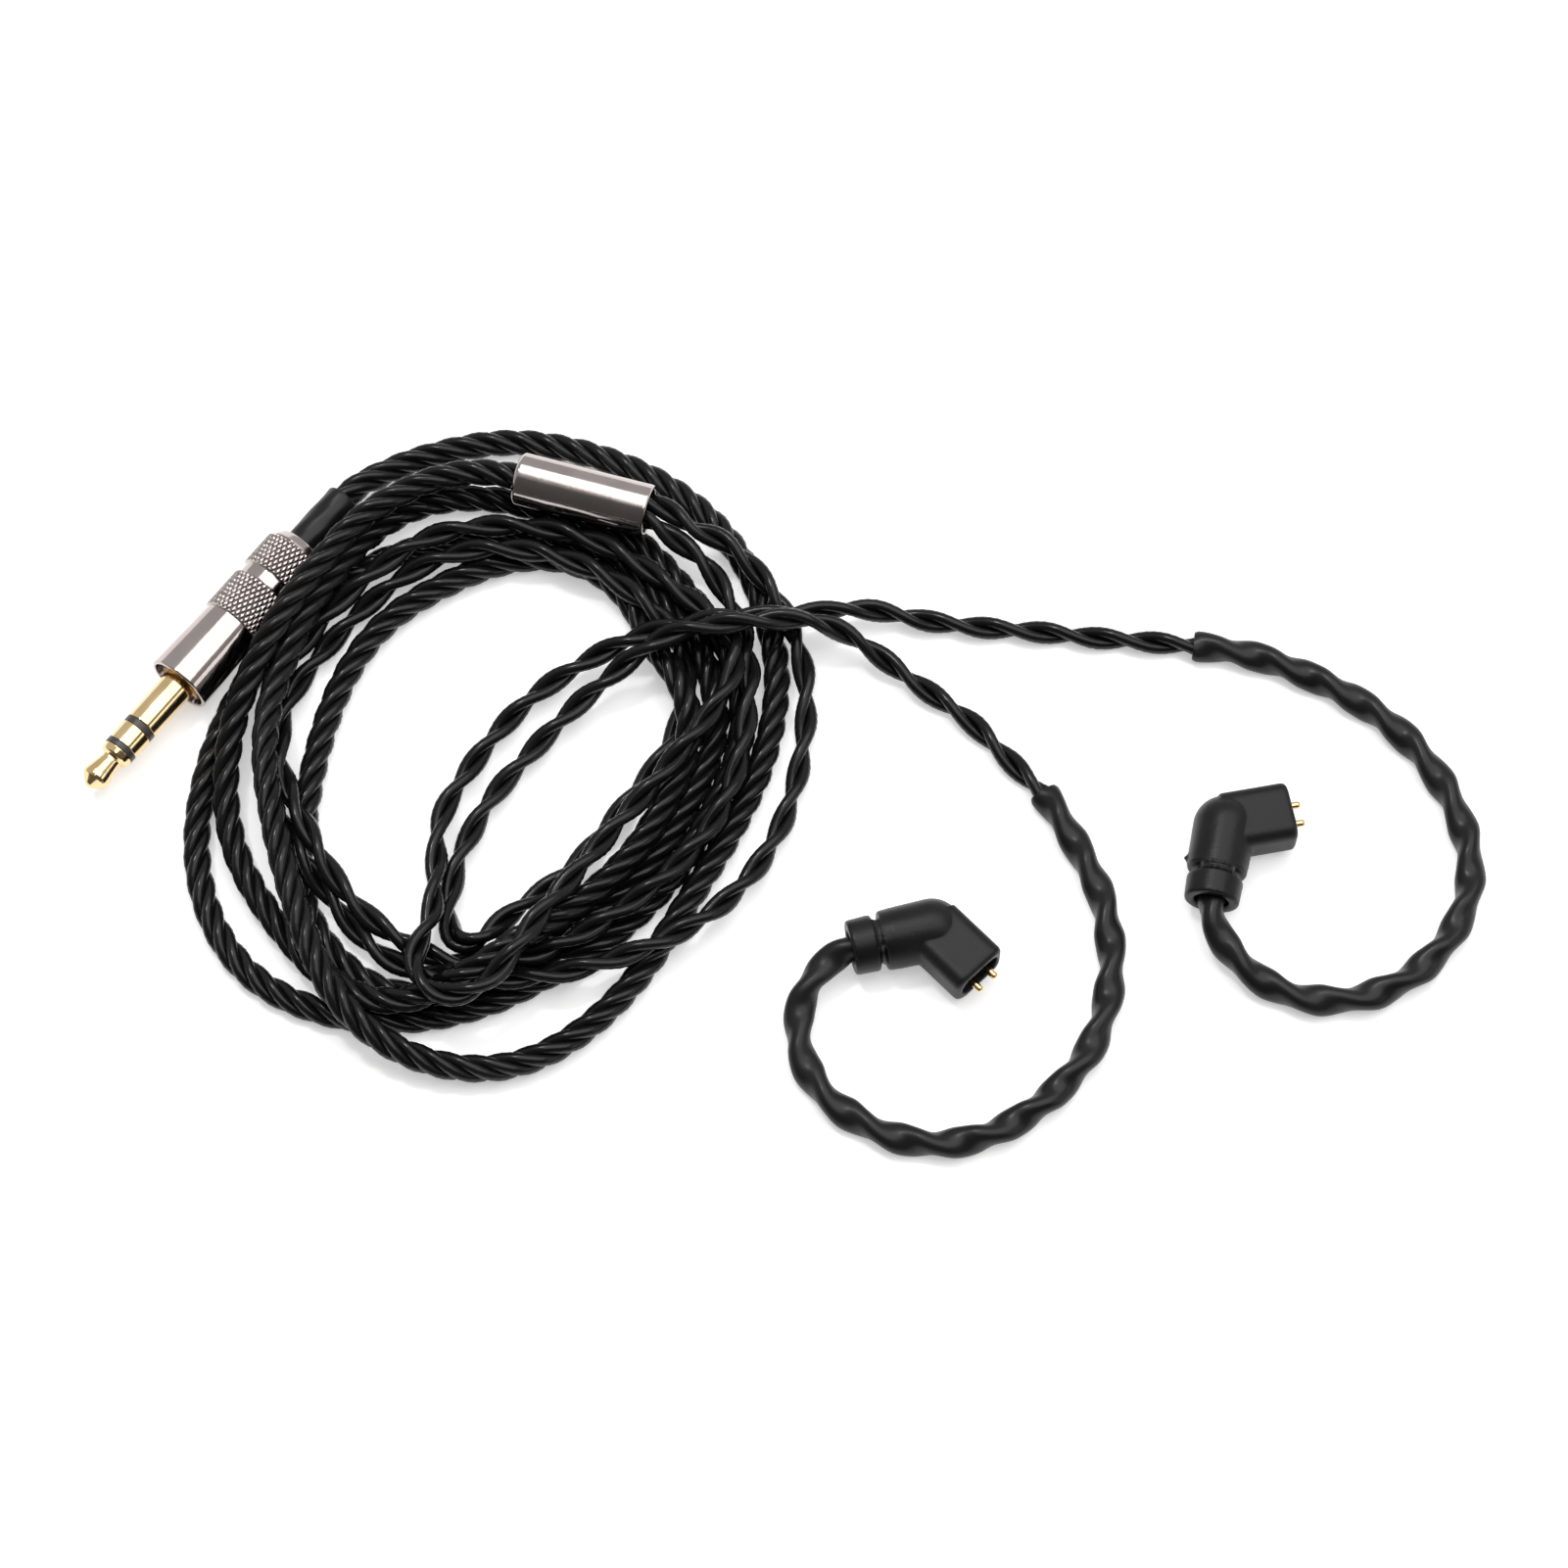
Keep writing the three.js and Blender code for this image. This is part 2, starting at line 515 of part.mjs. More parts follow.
// One closed ring in the outer shape of the bundle, with a trough where the splitter lies on it.
function coil() {
  const ring = outline(THREE.Shape, COIL_OUTLINE);
  ring.closePath();
  const hole = [...COIL_HOLE, COIL_HOLE[0]].reverse();
  ring.holes.push(outline(THREE.Path, hole));
  const bundle = new THREE.ExtrudeGeometry(ring, {
    depth: COIL_HEIGHT - COIL_EDGE, steps: 1, curveSegments: 2,
    bevelEnabled: true, bevelThickness: COIL_EDGE / 2, bevelSize: COIL_EDGE / 2,
    bevelOffset: -COIL_EDGE / 2, bevelSegments: 1,
  }).translate(0, 0, COIL_EDGE / 2);
  const trough = turnedRod(-GAP, SPLITTER_LENGTH + GAP, SPLITTER_RADIUS + GAP, SIDES_SEEN)
    .rotateZ(radians(SPLITTER_YAW))
    .translate(...SPLITTER_AT);
  return named('cable_coil', cut(bundle, trough), MATERIALS.jacket);
}

function freeCords() {
  return [
    named('main_cable_lead', routed(MAIN_LEAD_ROUTE, MAIN_CABLE_RADIUS, 8, 6), MATERIALS.jacket),
    named('left_branch_lead', routed(LEFT_BRANCH_ROUTE, PAIR_RADIUS, 8, 34), MATERIALS.jacket),
    named('right_branch_lead', routed(RIGHT_BRANCH_ROUTE, PAIR_RADIUS, 8, 38), MATERIALS.jacket),
  ];
}

// ---------------------------------------------------------------------------------------------
// Assembly
// ---------------------------------------------------------------------------------------------

const cable = new THREE.Group();
cable.add(
  plug(),
  splitter(),
  connector('left'),
  connector('right'),
  earHook('left', LEFT_HOOK_ROUTE),
  earHook('right', RIGHT_HOOK_ROUTE),
  coil(),
  ...freeCords(),
);
cable.position.set(...BENCH_SHIFT);

export default cable;
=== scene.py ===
"""A detachable cable for in-ear monitors, lying loosely coiled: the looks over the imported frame."""

import json
import math

import bmesh
import bpy
import numpy as np
from mathutils import Matrix, Vector

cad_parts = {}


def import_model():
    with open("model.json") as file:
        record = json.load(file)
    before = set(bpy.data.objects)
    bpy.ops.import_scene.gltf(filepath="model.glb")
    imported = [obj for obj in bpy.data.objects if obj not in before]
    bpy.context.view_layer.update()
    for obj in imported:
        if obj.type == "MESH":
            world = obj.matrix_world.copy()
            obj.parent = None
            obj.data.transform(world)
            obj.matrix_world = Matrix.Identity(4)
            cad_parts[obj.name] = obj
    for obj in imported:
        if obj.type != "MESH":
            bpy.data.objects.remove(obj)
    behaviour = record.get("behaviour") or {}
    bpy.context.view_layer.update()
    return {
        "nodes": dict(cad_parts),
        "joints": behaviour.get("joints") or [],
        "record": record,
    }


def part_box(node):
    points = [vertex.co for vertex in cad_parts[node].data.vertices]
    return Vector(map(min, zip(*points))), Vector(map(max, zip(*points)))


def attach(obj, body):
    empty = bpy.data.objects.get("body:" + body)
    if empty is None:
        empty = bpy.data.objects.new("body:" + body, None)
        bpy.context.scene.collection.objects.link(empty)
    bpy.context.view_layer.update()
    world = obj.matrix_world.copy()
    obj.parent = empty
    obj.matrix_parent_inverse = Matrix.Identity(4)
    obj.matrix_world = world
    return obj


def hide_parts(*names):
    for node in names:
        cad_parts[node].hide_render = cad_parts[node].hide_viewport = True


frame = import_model()

# ------------------------------------------------------------------------------------------------
# Frame and driving sizes (millimetres; the bench is the table frame that the routes are laid in)
# ------------------------------------------------------------------------------------------------

MM = 0.001
BENCH_SHIFT = np.array([0.33, 2.9, 0.0])

# The main cable is laid from four strands, and each branch from two.
MAIN_STRANDS = 4
PAIR_STRANDS = 2
STRAND_RADIUS = 0.6
MAIN_RADIUS = 1.42
PAIR_RADIUS = 1.19
MAIN_PITCH = 11.2
PAIR_PITCH = 11.6

# The plug's stations run back from the tip of its pin.
PIN_LENGTH = 14.1
PLUG_FACE_OFFSET = 2.96
BARREL_LENGTH = 19.5
BARREL_RADIUS = 3.4
STRAIN_RELIEF_START = 28.5
STRAIN_RELIEF_END = 40.6

SPLITTER_LENGTH = 14.2
SPLITTER_RADIUS = 2.75
SPLITTER_YAW = -16
PAIR_SPACING = 2.1

# A connector is a round boot and a flat block that meet at its elbow, turned by the angle given.
BOOT_LENGTH = 8.3
BLOCK_LENGTH = 6.8
FACE_OFFSET = 1.72
BOOT_TURN = {"left": 59.5, "right": 68.0}

mounts = {m["name"]: m for m in frame["record"]["mounts"]}


def row_mm(point_m):
    """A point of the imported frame, in millimetres."""
    return np.array(point_m, float) / MM


def yaw_of(axis):
    """The angle of a level axis from X."""
    return math.atan2(axis[1], axis[0])


def place(origin_mm, yaw):
    """The matrix of a group whose origin and turn are given, in metres."""
    return Matrix.Translation(Vector(origin_mm) * MM) @ Matrix.Rotation(yaw, 4, "Z")


def bench(points):
    """Bench points, in the row frame's millimetres."""
    return np.array(points, float) + BENCH_SHIFT


# The plug's tip, the splitter's inlet and the connectors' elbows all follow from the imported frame.
plug_axis = np.array(frame["joints"][0]["axis"], float)
plug_tip = row_mm(mounts["plug_shoulder"]["pos_m"]) - [0, 0, PLUG_FACE_OFFSET] - PIN_LENGTH * plug_axis
plug_yaw = yaw_of(plug_axis)

shell_low, shell_high = (row_mm(c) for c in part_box("splitter_shell"))
splitter_yaw = math.radians(SPLITTER_YAW)
splitter_axis = np.array([math.cos(splitter_yaw), math.sin(splitter_yaw), 0])
splitter_in = (shell_low + shell_high) / 2 - splitter_axis * SPLITTER_LENGTH / 2
splitter_out = splitter_in + splitter_axis * SPLITTER_LENGTH
splitter_side = np.array([-splitter_axis[1], splitter_axis[0], 0])

connectors = {}
for side in ("left", "right"):
    mount = mounts[f"{side}_connector_face"]
    axis = np.array(mount["axis"], float)
    elbow = row_mm(mount["pos_m"]) - [0, 0, FACE_OFFSET] - BLOCK_LENGTH * axis
    boot_yaw = yaw_of(axis) + math.radians(BOOT_TURN[side])
    boot_axis = np.array([math.cos(boot_yaw), math.sin(boot_yaw), 0])
    connectors[side] = {"elbow": elbow, "yaw": yaw_of(axis), "boot": boot_axis}

# ------------------------------------------------------------------------------------------------
# Camera
# ------------------------------------------------------------------------------------------------

CAMERA_ELEVATION = math.radians(66)
CAMERA_DISTANCE = 0.45
CAMERA_LENS = 102.2

camera_data = bpy.data.cameras.new("camera")
camera_data.lens = CAMERA_LENS
camera_data.sensor_width = 36
camera = bpy.data.objects.new("camera", camera_data)
back = Vector((0, -math.cos(CAMERA_ELEVATION), math.sin(CAMERA_ELEVATION)))
camera.location = Vector(BENCH_SHIFT) * MM + back * CAMERA_DISTANCE
camera.rotation_euler = (math.pi / 2 - CAMERA_ELEVATION, 0, 0)
bpy.context.scene.collection.objects.link(camera)
bpy.context.scene.camera = camera

# ------------------------------------------------------------------------------------------------
# Cord routes
# ------------------------------------------------------------------------------------------------

COIL_CENTRE = (-27, 4)
SPOKES_PER_TURN = 16

# Each turn of the coil, clockwise from the top: (distance from the centre, height) at every spoke.
# The distances were measured along the ropes in the photograph and put in millimetres by a converter
# through this camera, then adjusted by hand. The heights, and turns hidden by others, are guesses.
MAIN_TURNS = [
    [(34.2, 1.4), (33, 1.4), (31.1, 1.5), (28.4, 1.6), (25.3, 1.5), (23.5, 1.4), (24.6, 1.4), (29.4, 1.4),
     (35, 1.4), (34.8, 3), (29.2, 4.4), (25.6, 3.8), (25, 3.4), (25.1, 3.3), (26.4, 3.3), (28.3, 2.7)],
    [(27.4, 1.5), (25.5, 1.4), (23.6, 1.4), (23.4, 1.4), (22.6, 1.4), (21.1, 1.4), (21.4, 1.4), (23.2, 1.4),
     (26.8, 1.4), (32.2, 1.4), (36, 1.4), (34.2, 1.4), (30.2, 1.4), (27.8, 1.4), (25.8, 1.4), (24.2, 1.4)],
    [(24, 1.4), (23.8, 1.4), (21.4, 1.4), (20.8, 1.4), (20, 1.4), (18.8, 1.4), (19.2, 1.4), (21, 1.4),
     (24.2, 1.4), (29.5, 1.4), (28, 1.4), (22.9, 1.4), (19.9, 1.4), (19.1, 1.4), (19.2, 1.4), (19.5, 1.4)],
    [(20.8, 1.4), (21, 1.4), (19, 1.4), (18.1, 1.5), (17.7, 1.5), (17.2, 1.4), (18, 1.4), (19.8, 1.8),
     (24.2, 3.6), (31.5, 2.4), (30.9, 1.4), (30.3, 1.5), (28.8, 1.8), (26.8, 3.4), (27.4, 4)],
]
RIGHT_TURN = [
    (29.6, 4.4), (30.2, 2.4), (29, 1.2), (28.2, 1.3), (27.6, 3), (26.6, 3.4), (26.6, 3.4), (26.8, 2.4),
    (25, 1.4), (24.7, 1.9), (25.3, 1.1), (25, 1.1), (23.9, 2.2), (24, 3.5), (23.3, 3.8), (22.8, 3.8),
    (22.8, 4), (24.4, 5.2), (18.6, 4.2), (15.4, 3.3), (14.9, 3.3),
]
LEFT_TURN = [
    (26.8, 4.6), (24.5, 3.8), (22.9, 3.6), (22.3, 3.6), (21.8, 3.6), (22.4, 3.6), (24.2, 3.6), (25.3, 3),
    (24.4, 3), (23.8, 2.8), (24.3, 1.5), (23.8, 1.5), (22.3, 2.6), (21.7, 3.6), (20.6, 3.8), (19.7, 3.6),
    (19, 2.4), (18.1, 1.3), (15.5, 1.1), (13.4, 1.1), (13.3, 1.1),
]

# Free stretches: the lead, the hairpins and the run out to each ear hook. Most of these points were picked
# one by one in the photograph, put in millimetres in the same way and adjusted.
MAIN_LEAD = [
    (-44.2, 32, 3.3), (-42.9, 33.1, 2.9), (-41.2, 34.2, 2.3), (-39, 35.5, 1.8), (-36.3, 36.6, 1.5),
    (-33.4, 37.5, 1.4),
]
MAIN_INLET = [(-42.6, 27.8, 4.2), (-38.6, 30.6, 4.5), (-34.9, 32.2, 4.9), (-31.4, 32.7, 5.3)]
RIGHT_OUTLET = [(-11.1, 27.5, 5.2), (-9.1, 26, 5)]
LEFT_OUTLET = [(-11.3, 25.7, 5)]
RIGHT_HAIRPIN = [
    (-20.4, -11.9, 3.4), (-23, -15.6, 3.8), (-25, -18.6, 4.4), (-26.9, -21.6, 5), (-28.8, -24.1, 5.2),
    (-30.7, -25.4, 5.4), (-32.6, -25.8, 5.4), (-34.4, -25.2, 5.4), (-35.7, -23.6, 5.2), (-36.1, -21.5, 4.6),
    (-35.5, -19, 3.4), (-34.7, -16.7, 2.6), (-34.4, -14.2, 2),
]
LEFT_HAIRPIN = [
    (-21.1, -10.1, 1.1), (-23.7, -12.6, 1.2), (-25.9, -14.7, 1.6), (-27.9, -16.9, 2.6), (-29.2, -19, 3.6),
    (-30.5, -20.8, 4.2), (-32.1, -20.9, 4), (-32.9, -19, 3.3), (-33.2, -16.5, 2.2), (-33.4, -13.8, 1.2),
]
RIGHT_BRANCH = [
    (-34.5, -9, 1.1), (-34.5, -6.3, 1.1), (-33.9, -3.5, 1.1), (-32.6, -0.8, 1.1), (-31.2, 1.7, 1.1),
    (-29.3, 4.5, 1.1), (-27.1, 7.2, 1.1), (-24.8, 9.4, 1.2), (-22.2, 11.2, 1.6), (-19.4, 12.7, 2.4),
    (-16.8, 13.8, 3.4), (-14, 14.5, 4.6), (-11, 15, 5.3), (-8, 15.3, 5.5), (-4, 15.9, 5.5),
    (0, 16.5, 5.4), (3.9, 17.4, 4.4), (8, 18.3, 2.8), (12, 18, 1.6), (16, 17.4, 1.1),
    (19.5, 17, 1.1), (23.2, 16.7, 1.1), (27.6, 16.3, 1.1), (32, 15.8, 1.1), (36.6, 15.4, 1.1),
    (41.1, 14.9, 1.3),
]
LEFT_BRANCH = [
    (-32.4, -8.3, 1.1), (-31.6, -6.5, 1.1), (-30.6, -4.3, 1.1), (-29.1, -1.8, 1.1), (-27.4, 0.5, 1.1),
    (-25.4, 2.9, 1.1), (-23.6, 5, 1.2), (-21.6, 7, 1.6), (-19.5, 8.9, 2.4), (-17.3, 10.5, 3.6),
    (-15.1, 12.1, 5), (-12.7, 13.5, 6.4), (-9.9, 14.4, 7.2), (-6.5, 14.9, 7.5), (-3, 15.3, 7.5),
    (0, 15.6, 7.4), (2.9, 15.7, 6.6), (5.7, 15.2, 4.6), (8.3, 14, 2.8), (10.7, 12.5, 1.5),
    (13.1, 10.7, 1.1), (16.8, 8, 1.1), (19.2, 6, 1.1), (21.4, 3.6, 1.1), (23.6, 1.1, 1.1),
    (25.5, -1, 1.3),
]
RIGHT_HOOK = [
    (41.8, 14.8, 1.4), (46.7, 14, 1.4), (51.3, 12.4, 1.4), (55.7, 10.2, 1.4), (59.6, 7.6, 1.4),
    (62.9, 4.5, 1.4), (65.6, 0.7, 1.4), (67.5, -3.3, 1.4), (68.5, -7.6, 1.4), (68.4, -11.7, 1.4),
    (67, -15.7, 1.4), (64.5, -19.2, 1.4), (61.1, -22, 1.4), (57.3, -23.6, 1.4), (53.2, -24, 1.4),
    (49.4, -23.2, 1.5), (46.2, -21.3, 1.9), (43.9, -18.9, 2.5), (42.6, -16.3, 3),
]
LEFT_HOOK = [
    (26.1, -1.6, 1.4), (28.1, -5, 1.4), (29.9, -8.6, 1.4), (31.4, -12.2, 1.4), (32.2, -16, 1.4),
    (32.4, -20.6, 1.4), (31.6, -25.2, 1.4), (30, -29.2, 1.4), (27.5, -32.6, 1.4), (24.4, -35.4, 1.4),
    (20.4, -37.8, 1.4), (15.8, -38.9, 1.4), (11.3, -38.4, 1.4), (7.7, -36.8, 1.4), (4.5, -34.4, 1.4),
    (2.4, -31.4, 1.4), (1.5, -28.2, 1.5), (1.6, -25, 1.8), (2.7, -22.4, 2.4), (4.5, -20.4, 2.9),
]


def turn_points(spokes, first):
    """Bench points of a stretch of the coil. The first spoke's number counts clockwise from the top."""
    points = []
    for number, (reach, height) in enumerate(spokes, first):
        angle = math.pi / 2 - number * 2 * math.pi / SPOKES_PER_TURN
        x = COIL_CENTRE[0] + reach * math.cos(angle)
        y = COIL_CENTRE[1] + reach * math.sin(angle)
        points.append((x, y, height))
    return points


SPLINE_STEPS = 40


def resampled(points, step):
    """A smooth curve through the points (a natural cubic spline over their spacing), in even steps."""
    points = np.array(points, float)
    count = len(points)
    at = np.r_[0, np.cumsum(np.sqrt(np.linalg.norm(np.diff(points, axis=0), axis=1)))]
    gap = np.diff(at)
    system = np.eye(count)
    right = np.zeros((count, 3))
    for i in range(1, count - 1):
        system[i, i - 1: i + 2] = gap[i - 1], 2 * (gap[i - 1] + gap[i]), gap[i]
        slopes = (points[i + 1] - points[i]) / gap[i], (points[i] - points[i - 1]) / gap[i - 1]
        right[i] = 6 * (slopes[0] - slopes[1])
    bend = np.linalg.solve(system, right)
    fine = np.linspace(0, at[-1], SPLINE_STEPS * count)
    i = np.clip(np.searchsorted(at, fine, side="right") - 1, 0, count - 2)
    h, a, b = gap[i][:, None], (at[i + 1] - fine)[:, None], (fine - at[i])[:, None]
    curve = (
        (bend[i] * a**3 + bend[i + 1] * b**3) / (6 * h)
        + (points[i] / h - bend[i] * h / 6) * a
        + (points[i + 1] / h - bend[i + 1] * h / 6) * b
    )
    run = np.r_[0, np.cumsum(np.linalg.norm(np.diff(curve, axis=0), axis=1))]
    even = np.linspace(0, run[-1], max(2, round(run[-1] / step)) + 1)
    return np.stack([np.interp(even, run, curve[:, k]) for k in range(3)], axis=1)


ROPE_IN_RELIEF = 5
ROPE_IN_SPLITTER = 2.5
FIRST_BRANCH_SPOKE = 2


def main_route():
    """From inside the plug's strain relief, round the coil and into the splitter."""
    stations = (STRAIN_RELIEF_END - ROPE_IN_RELIEF, STRAIN_RELIEF_END)
    start = [plug_tip + plug_axis * station for station in stations]
    turns = []
    for number, spokes in enumerate(MAIN_TURNS):
        turns += turn_points(spokes, number * SPOKES_PER_TURN)
    end = [splitter_in - splitter_axis * 1.2, splitter_in + splitter_axis * ROPE_IN_SPLITTER]
    return np.vstack([start, bench(MAIN_LEAD), bench(turns), bench(MAIN_INLET), end])


def branch_route(side):
    """From inside the splitter, round the coil, through the hairpin and out to the ear hook."""
    outlet, turn, hairpin, run, hook, offset = {
        "right": (RIGHT_OUTLET, RIGHT_TURN, RIGHT_HAIRPIN, RIGHT_BRANCH, RIGHT_HOOK, 0.5),
        "left": (LEFT_OUTLET, LEFT_TURN, LEFT_HAIRPIN, LEFT_BRANCH, LEFT_HOOK, -0.5),
    }[side]
    door = splitter_out + splitter_side * PAIR_SPACING * offset
    start = [door - splitter_axis * ROPE_IN_SPLITTER, door + splitter_axis * 0.3]
    coil = turn_points(turn, FIRST_BRANCH_SPOKE)
    return np.vstack([
        start, bench(outlet), bench(coil), bench(hairpin), bench(run), bench(hook[:2]),
    ])


# How the ropes settle: sizes are in millimetres, and the rest are shares of a move in one round.
SETTLE_STEP = 1.6
SETTLE_ROUNDS = 400
PAIRS_EVERY = 8
TOUCH_MARGIN = 0.6
NEIGHBOURS = 5
NESTING = 0.94
PUSH = 1.4
SETTLE_LEAN = np.array([0.35, 0.35, 1])
SINK = 0.02
STIFFNESS = 0.15
LEVELLING = 0.2
ROUTE_PULL = 0.01
RELIEF_GUARD = 1.9
SMALLEST = 1e-6
EASING_ROUNDS = 12
SOFT_BEND = 20


def metal_guards():
    """The round metal pieces that the ropes stay out of, as (start, end, radius)."""
    barrel_rear = PIN_LENGTH + BARREL_LENGTH
    return [
        (plug_tip + plug_axis * PIN_LENGTH, plug_tip + plug_axis * barrel_rear, BARREL_RADIUS),
        (plug_tip + plug_axis * barrel_rear, plug_tip + plug_axis * STRAIN_RELIEF_END, RELIEF_GUARD),
        (splitter_in, splitter_out, SPLITTER_RADIUS),
    ]


def close_pairs(now, radius, owner, number):
    """Pairs of points that may touch, apart from near neighbours on one rope."""
    apart = np.linalg.norm(now[:, None] - now[None], axis=2)
    close = apart < radius[:, None] + radius[None] + TOUCH_MARGIN
    close &= (owner[:, None] != owner[None]) | (abs(number[:, None] - number[None]) > NEIGHBOURS)
    return np.nonzero(np.triu(close, 1))


def push_apart(now, free, radius, first, second):
    """Moves overlapping points away from each other, more upwards than sideways."""
    away = now[second] - now[first]
    length = np.maximum(np.linalg.norm(away, axis=1), SMALLEST)
    overlap = np.maximum(NESTING * (radius[first] + radius[second]) - length, 0)
    push = away * (0.5 * overlap / length)[:, None] * SETTLE_LEAN
    move = np.zeros_like(now)
    share = np.zeros(len(now))
    np.add.at(move, first, -push)
    np.add.at(move, second, push)
    np.add.at(share, first, overlap > 0)
    np.add.at(share, second, overlap > 0)
    now[free] += PUSH * (move / np.maximum(share, 1)[:, None])[free]


def push_off_metal(now, free, radius, guards):
    """Moves the points that lie inside a metal piece out to its surface."""
    for start, end, thick in guards:
        reach = np.linalg.norm(end - start)
        along = (end - start) / reach
        station = (now - start) @ along
        out = now - start - station[:, None] * along
        gap = np.maximum(np.linalg.norm(out, axis=1), SMALLEST)
        deep = thick + radius - gap
        hit = free & (deep > 0) & (station > 0) & (station < reach)
        now[hit] += out[hit] * (deep[hit] / gap[hit])[:, None]


def stiffen(now, rest, free, inner):
    """Shares each point's shift with its neighbours, levels it and pulls it back over its route."""
    shift = now - rest
    smooth = np.zeros_like(shift)
    smooth[1:-1] = (shift[:-2] + shift[2:]) / 2 - shift[1:-1]
    smooth[~inner] = 0
    now[free] += STIFFNESS * smooth[free]
    lift = np.zeros(len(now))
    lift[1:-1] = (now[:-2, 2] + now[2:, 2]) / 2 - now[1:-1, 2]
    lift[~inner] = 0
    now[free, 2] += LEVELLING * lift[free]
    now[free, :2] += ROUTE_PULL * (rest[free, :2] - now[free, :2])


def settled(ropes):
    """Lets the ropes lie on the table and on each other: none sinks into another or into the metal.

    ropes is a list of (points, radius, fixed points at the start, fixed points at the end).
    """
    rest = np.vstack([r[0] for r in ropes])
    radius = np.concatenate([np.full(len(r[0]), r[1]) for r in ropes])
    owner = np.concatenate([np.full(len(r[0]), k) for k, r in enumerate(ropes)])
    number = np.concatenate([np.arange(len(r[0])) for r in ropes])
    free = np.ones(len(rest), bool)
    for k, (points, _, head, tail) in enumerate(ropes):
        free[(owner == k) & ((number < head) | (number >= len(points) - tail))] = False
    inner = (owner[1:-1] == owner[:-2]) & (owner[1:-1] == owner[2:])
    inner = np.r_[False, inner, False]
    guards = metal_guards()
    now = rest.copy()
    for turn in range(SETTLE_ROUNDS):
        if turn % PAIRS_EVERY == 0:
            first, second = close_pairs(now, radius, owner, number)
        now[free, 2] -= SINK * max(0, 1 - 1.5 * turn / SETTLE_ROUNDS)
        push_apart(now, free, radius, first, second)
        push_off_metal(now, free, radius, guards)
        stiffen(now, rest, free, inner)
        now[:, 2] = np.maximum(now[:, 2], radius)
    return [eased(now[owner == k]) for k in range(len(ropes))]


def eased(line):
    """The line with its sharp corners rounded off, a little in each round."""
    line = line.copy()
    for _ in range(EASING_ROUNDS):
        before, after = line[1:-1] - line[:-2], line[2:] - line[1:-1]
        lengths = np.linalg.norm(before, axis=1) * np.linalg.norm(after, axis=1)
        bend = np.degrees(np.arccos(np.clip(np.sum(before * after, axis=1) / lengths, -1, 1)))
        share = np.clip((bend - SOFT_BEND) / SOFT_BEND, 0, 1)[:, None]
        line[1:-1] += 0.5 * share * (after - before) / 2
    return line


def mesh_object(name, vertices_mm, faces, matrix=None, smooth_angle=None):
    """A mesh piece from millimetre vertices, with smooth shading."""
    mesh = bpy.data.meshes.new(name)
    mesh.from_pydata((np.asarray(vertices_mm) * MM).tolist(), [], [list(map(int, f)) for f in faces])
    mesh.validate()
    mesh.polygons.foreach_set("use_smooth", [True] * len(mesh.polygons))
    if smooth_angle:
        mesh.set_sharp_from_angle(angle=math.radians(smooth_angle))
    made = bpy.data.objects.new(name, mesh)
    bpy.context.scene.collection.objects.link(made)
    if matrix is not None:
        made.matrix_world = matrix
    return made


def travelling_frames(points):
    """Tangents and two cross directions along a route, carried along without twist."""
    tangent = np.gradient(points, axis=0)
    tangent /= np.linalg.norm(tangent, axis=1)[:, None]
    across = np.zeros_like(points)
    across[0] = np.cross(tangent[0], [0, 0, 1])
    for i in range(1, len(points)):
        across[i] = across[i - 1] - tangent[i] * (across[i - 1] @ tangent[i])
    across /= np.linalg.norm(across, axis=1)[:, None]
    return tangent, across, np.cross(tangent, across)


def tube(points, radial, side, reach, scale=1.0):
    """Vertices and faces of a closed tube. reach is its radius at each angle, scale its size along it."""
    count, sides = len(points), len(reach)
    turns = np.arange(sides) * 2 * math.pi / sides
    size = np.broadcast_to(scale, count)[:, None, None]
    rings = (
        points[:, None]
        + radial[:, None] * (reach * np.cos(turns))[None, :, None] * size
        + side[:, None] * (reach * np.sin(turns))[None, :, None] * size
    )
    vertices = np.vstack([rings.reshape(-1, 3), points[:1], points[-1:]])
    ring = np.arange(sides)
    after = (ring + 1) % sides
    faces = []
    for i in range(count - 1):
        low, high = i * sides, (i + 1) * sides
        faces += np.stack([low + ring, low + after, high + after, high + ring], axis=1).tolist()
    first, last = count * sides, count * sides + 1
    end = (count - 1) * sides
    faces += [[first, int(b), int(a)] for a, b in zip(ring, after)]
    faces += [[last, int(end + a), int(end + b)] for a, b in zip(ring, after)]
    return vertices, faces


def rope(name, route, strands, radius, pitch, phase=0.0, sides=12):
    """A rope of round strands laid round its centreline, right-handed."""
    tangent, across, up = travelling_frames(route)
    run = np.r_[0, np.cumsum(np.linalg.norm(np.diff(route, axis=0), axis=1))]
    vertices, faces = [], []
    for k in range(strands):
        angle = phase + 2 * math.pi * (run / pitch + k / strands)
        radial = across * np.cos(angle)[:, None] + up * np.sin(angle)[:, None]
        line = route + radial * (radius - STRAND_RADIUS)
        along = np.gradient(line, axis=0)
        along /= np.linalg.norm(along, axis=1)[:, None]
        out = radial - along * np.sum(radial * along, axis=1)[:, None]
        out /= np.linalg.norm(out, axis=1)[:, None]
        new, made = tube(line, out, np.cross(along, out), np.full(sides, STRAND_RADIUS))
        offset = sum(len(v) for v in vertices)
        vertices.append(new)
        faces += [[i + offset for i in f] for f in made]
    return mesh_object(name, np.vstack(vertices), faces)


ROPE_STEP = 0.7

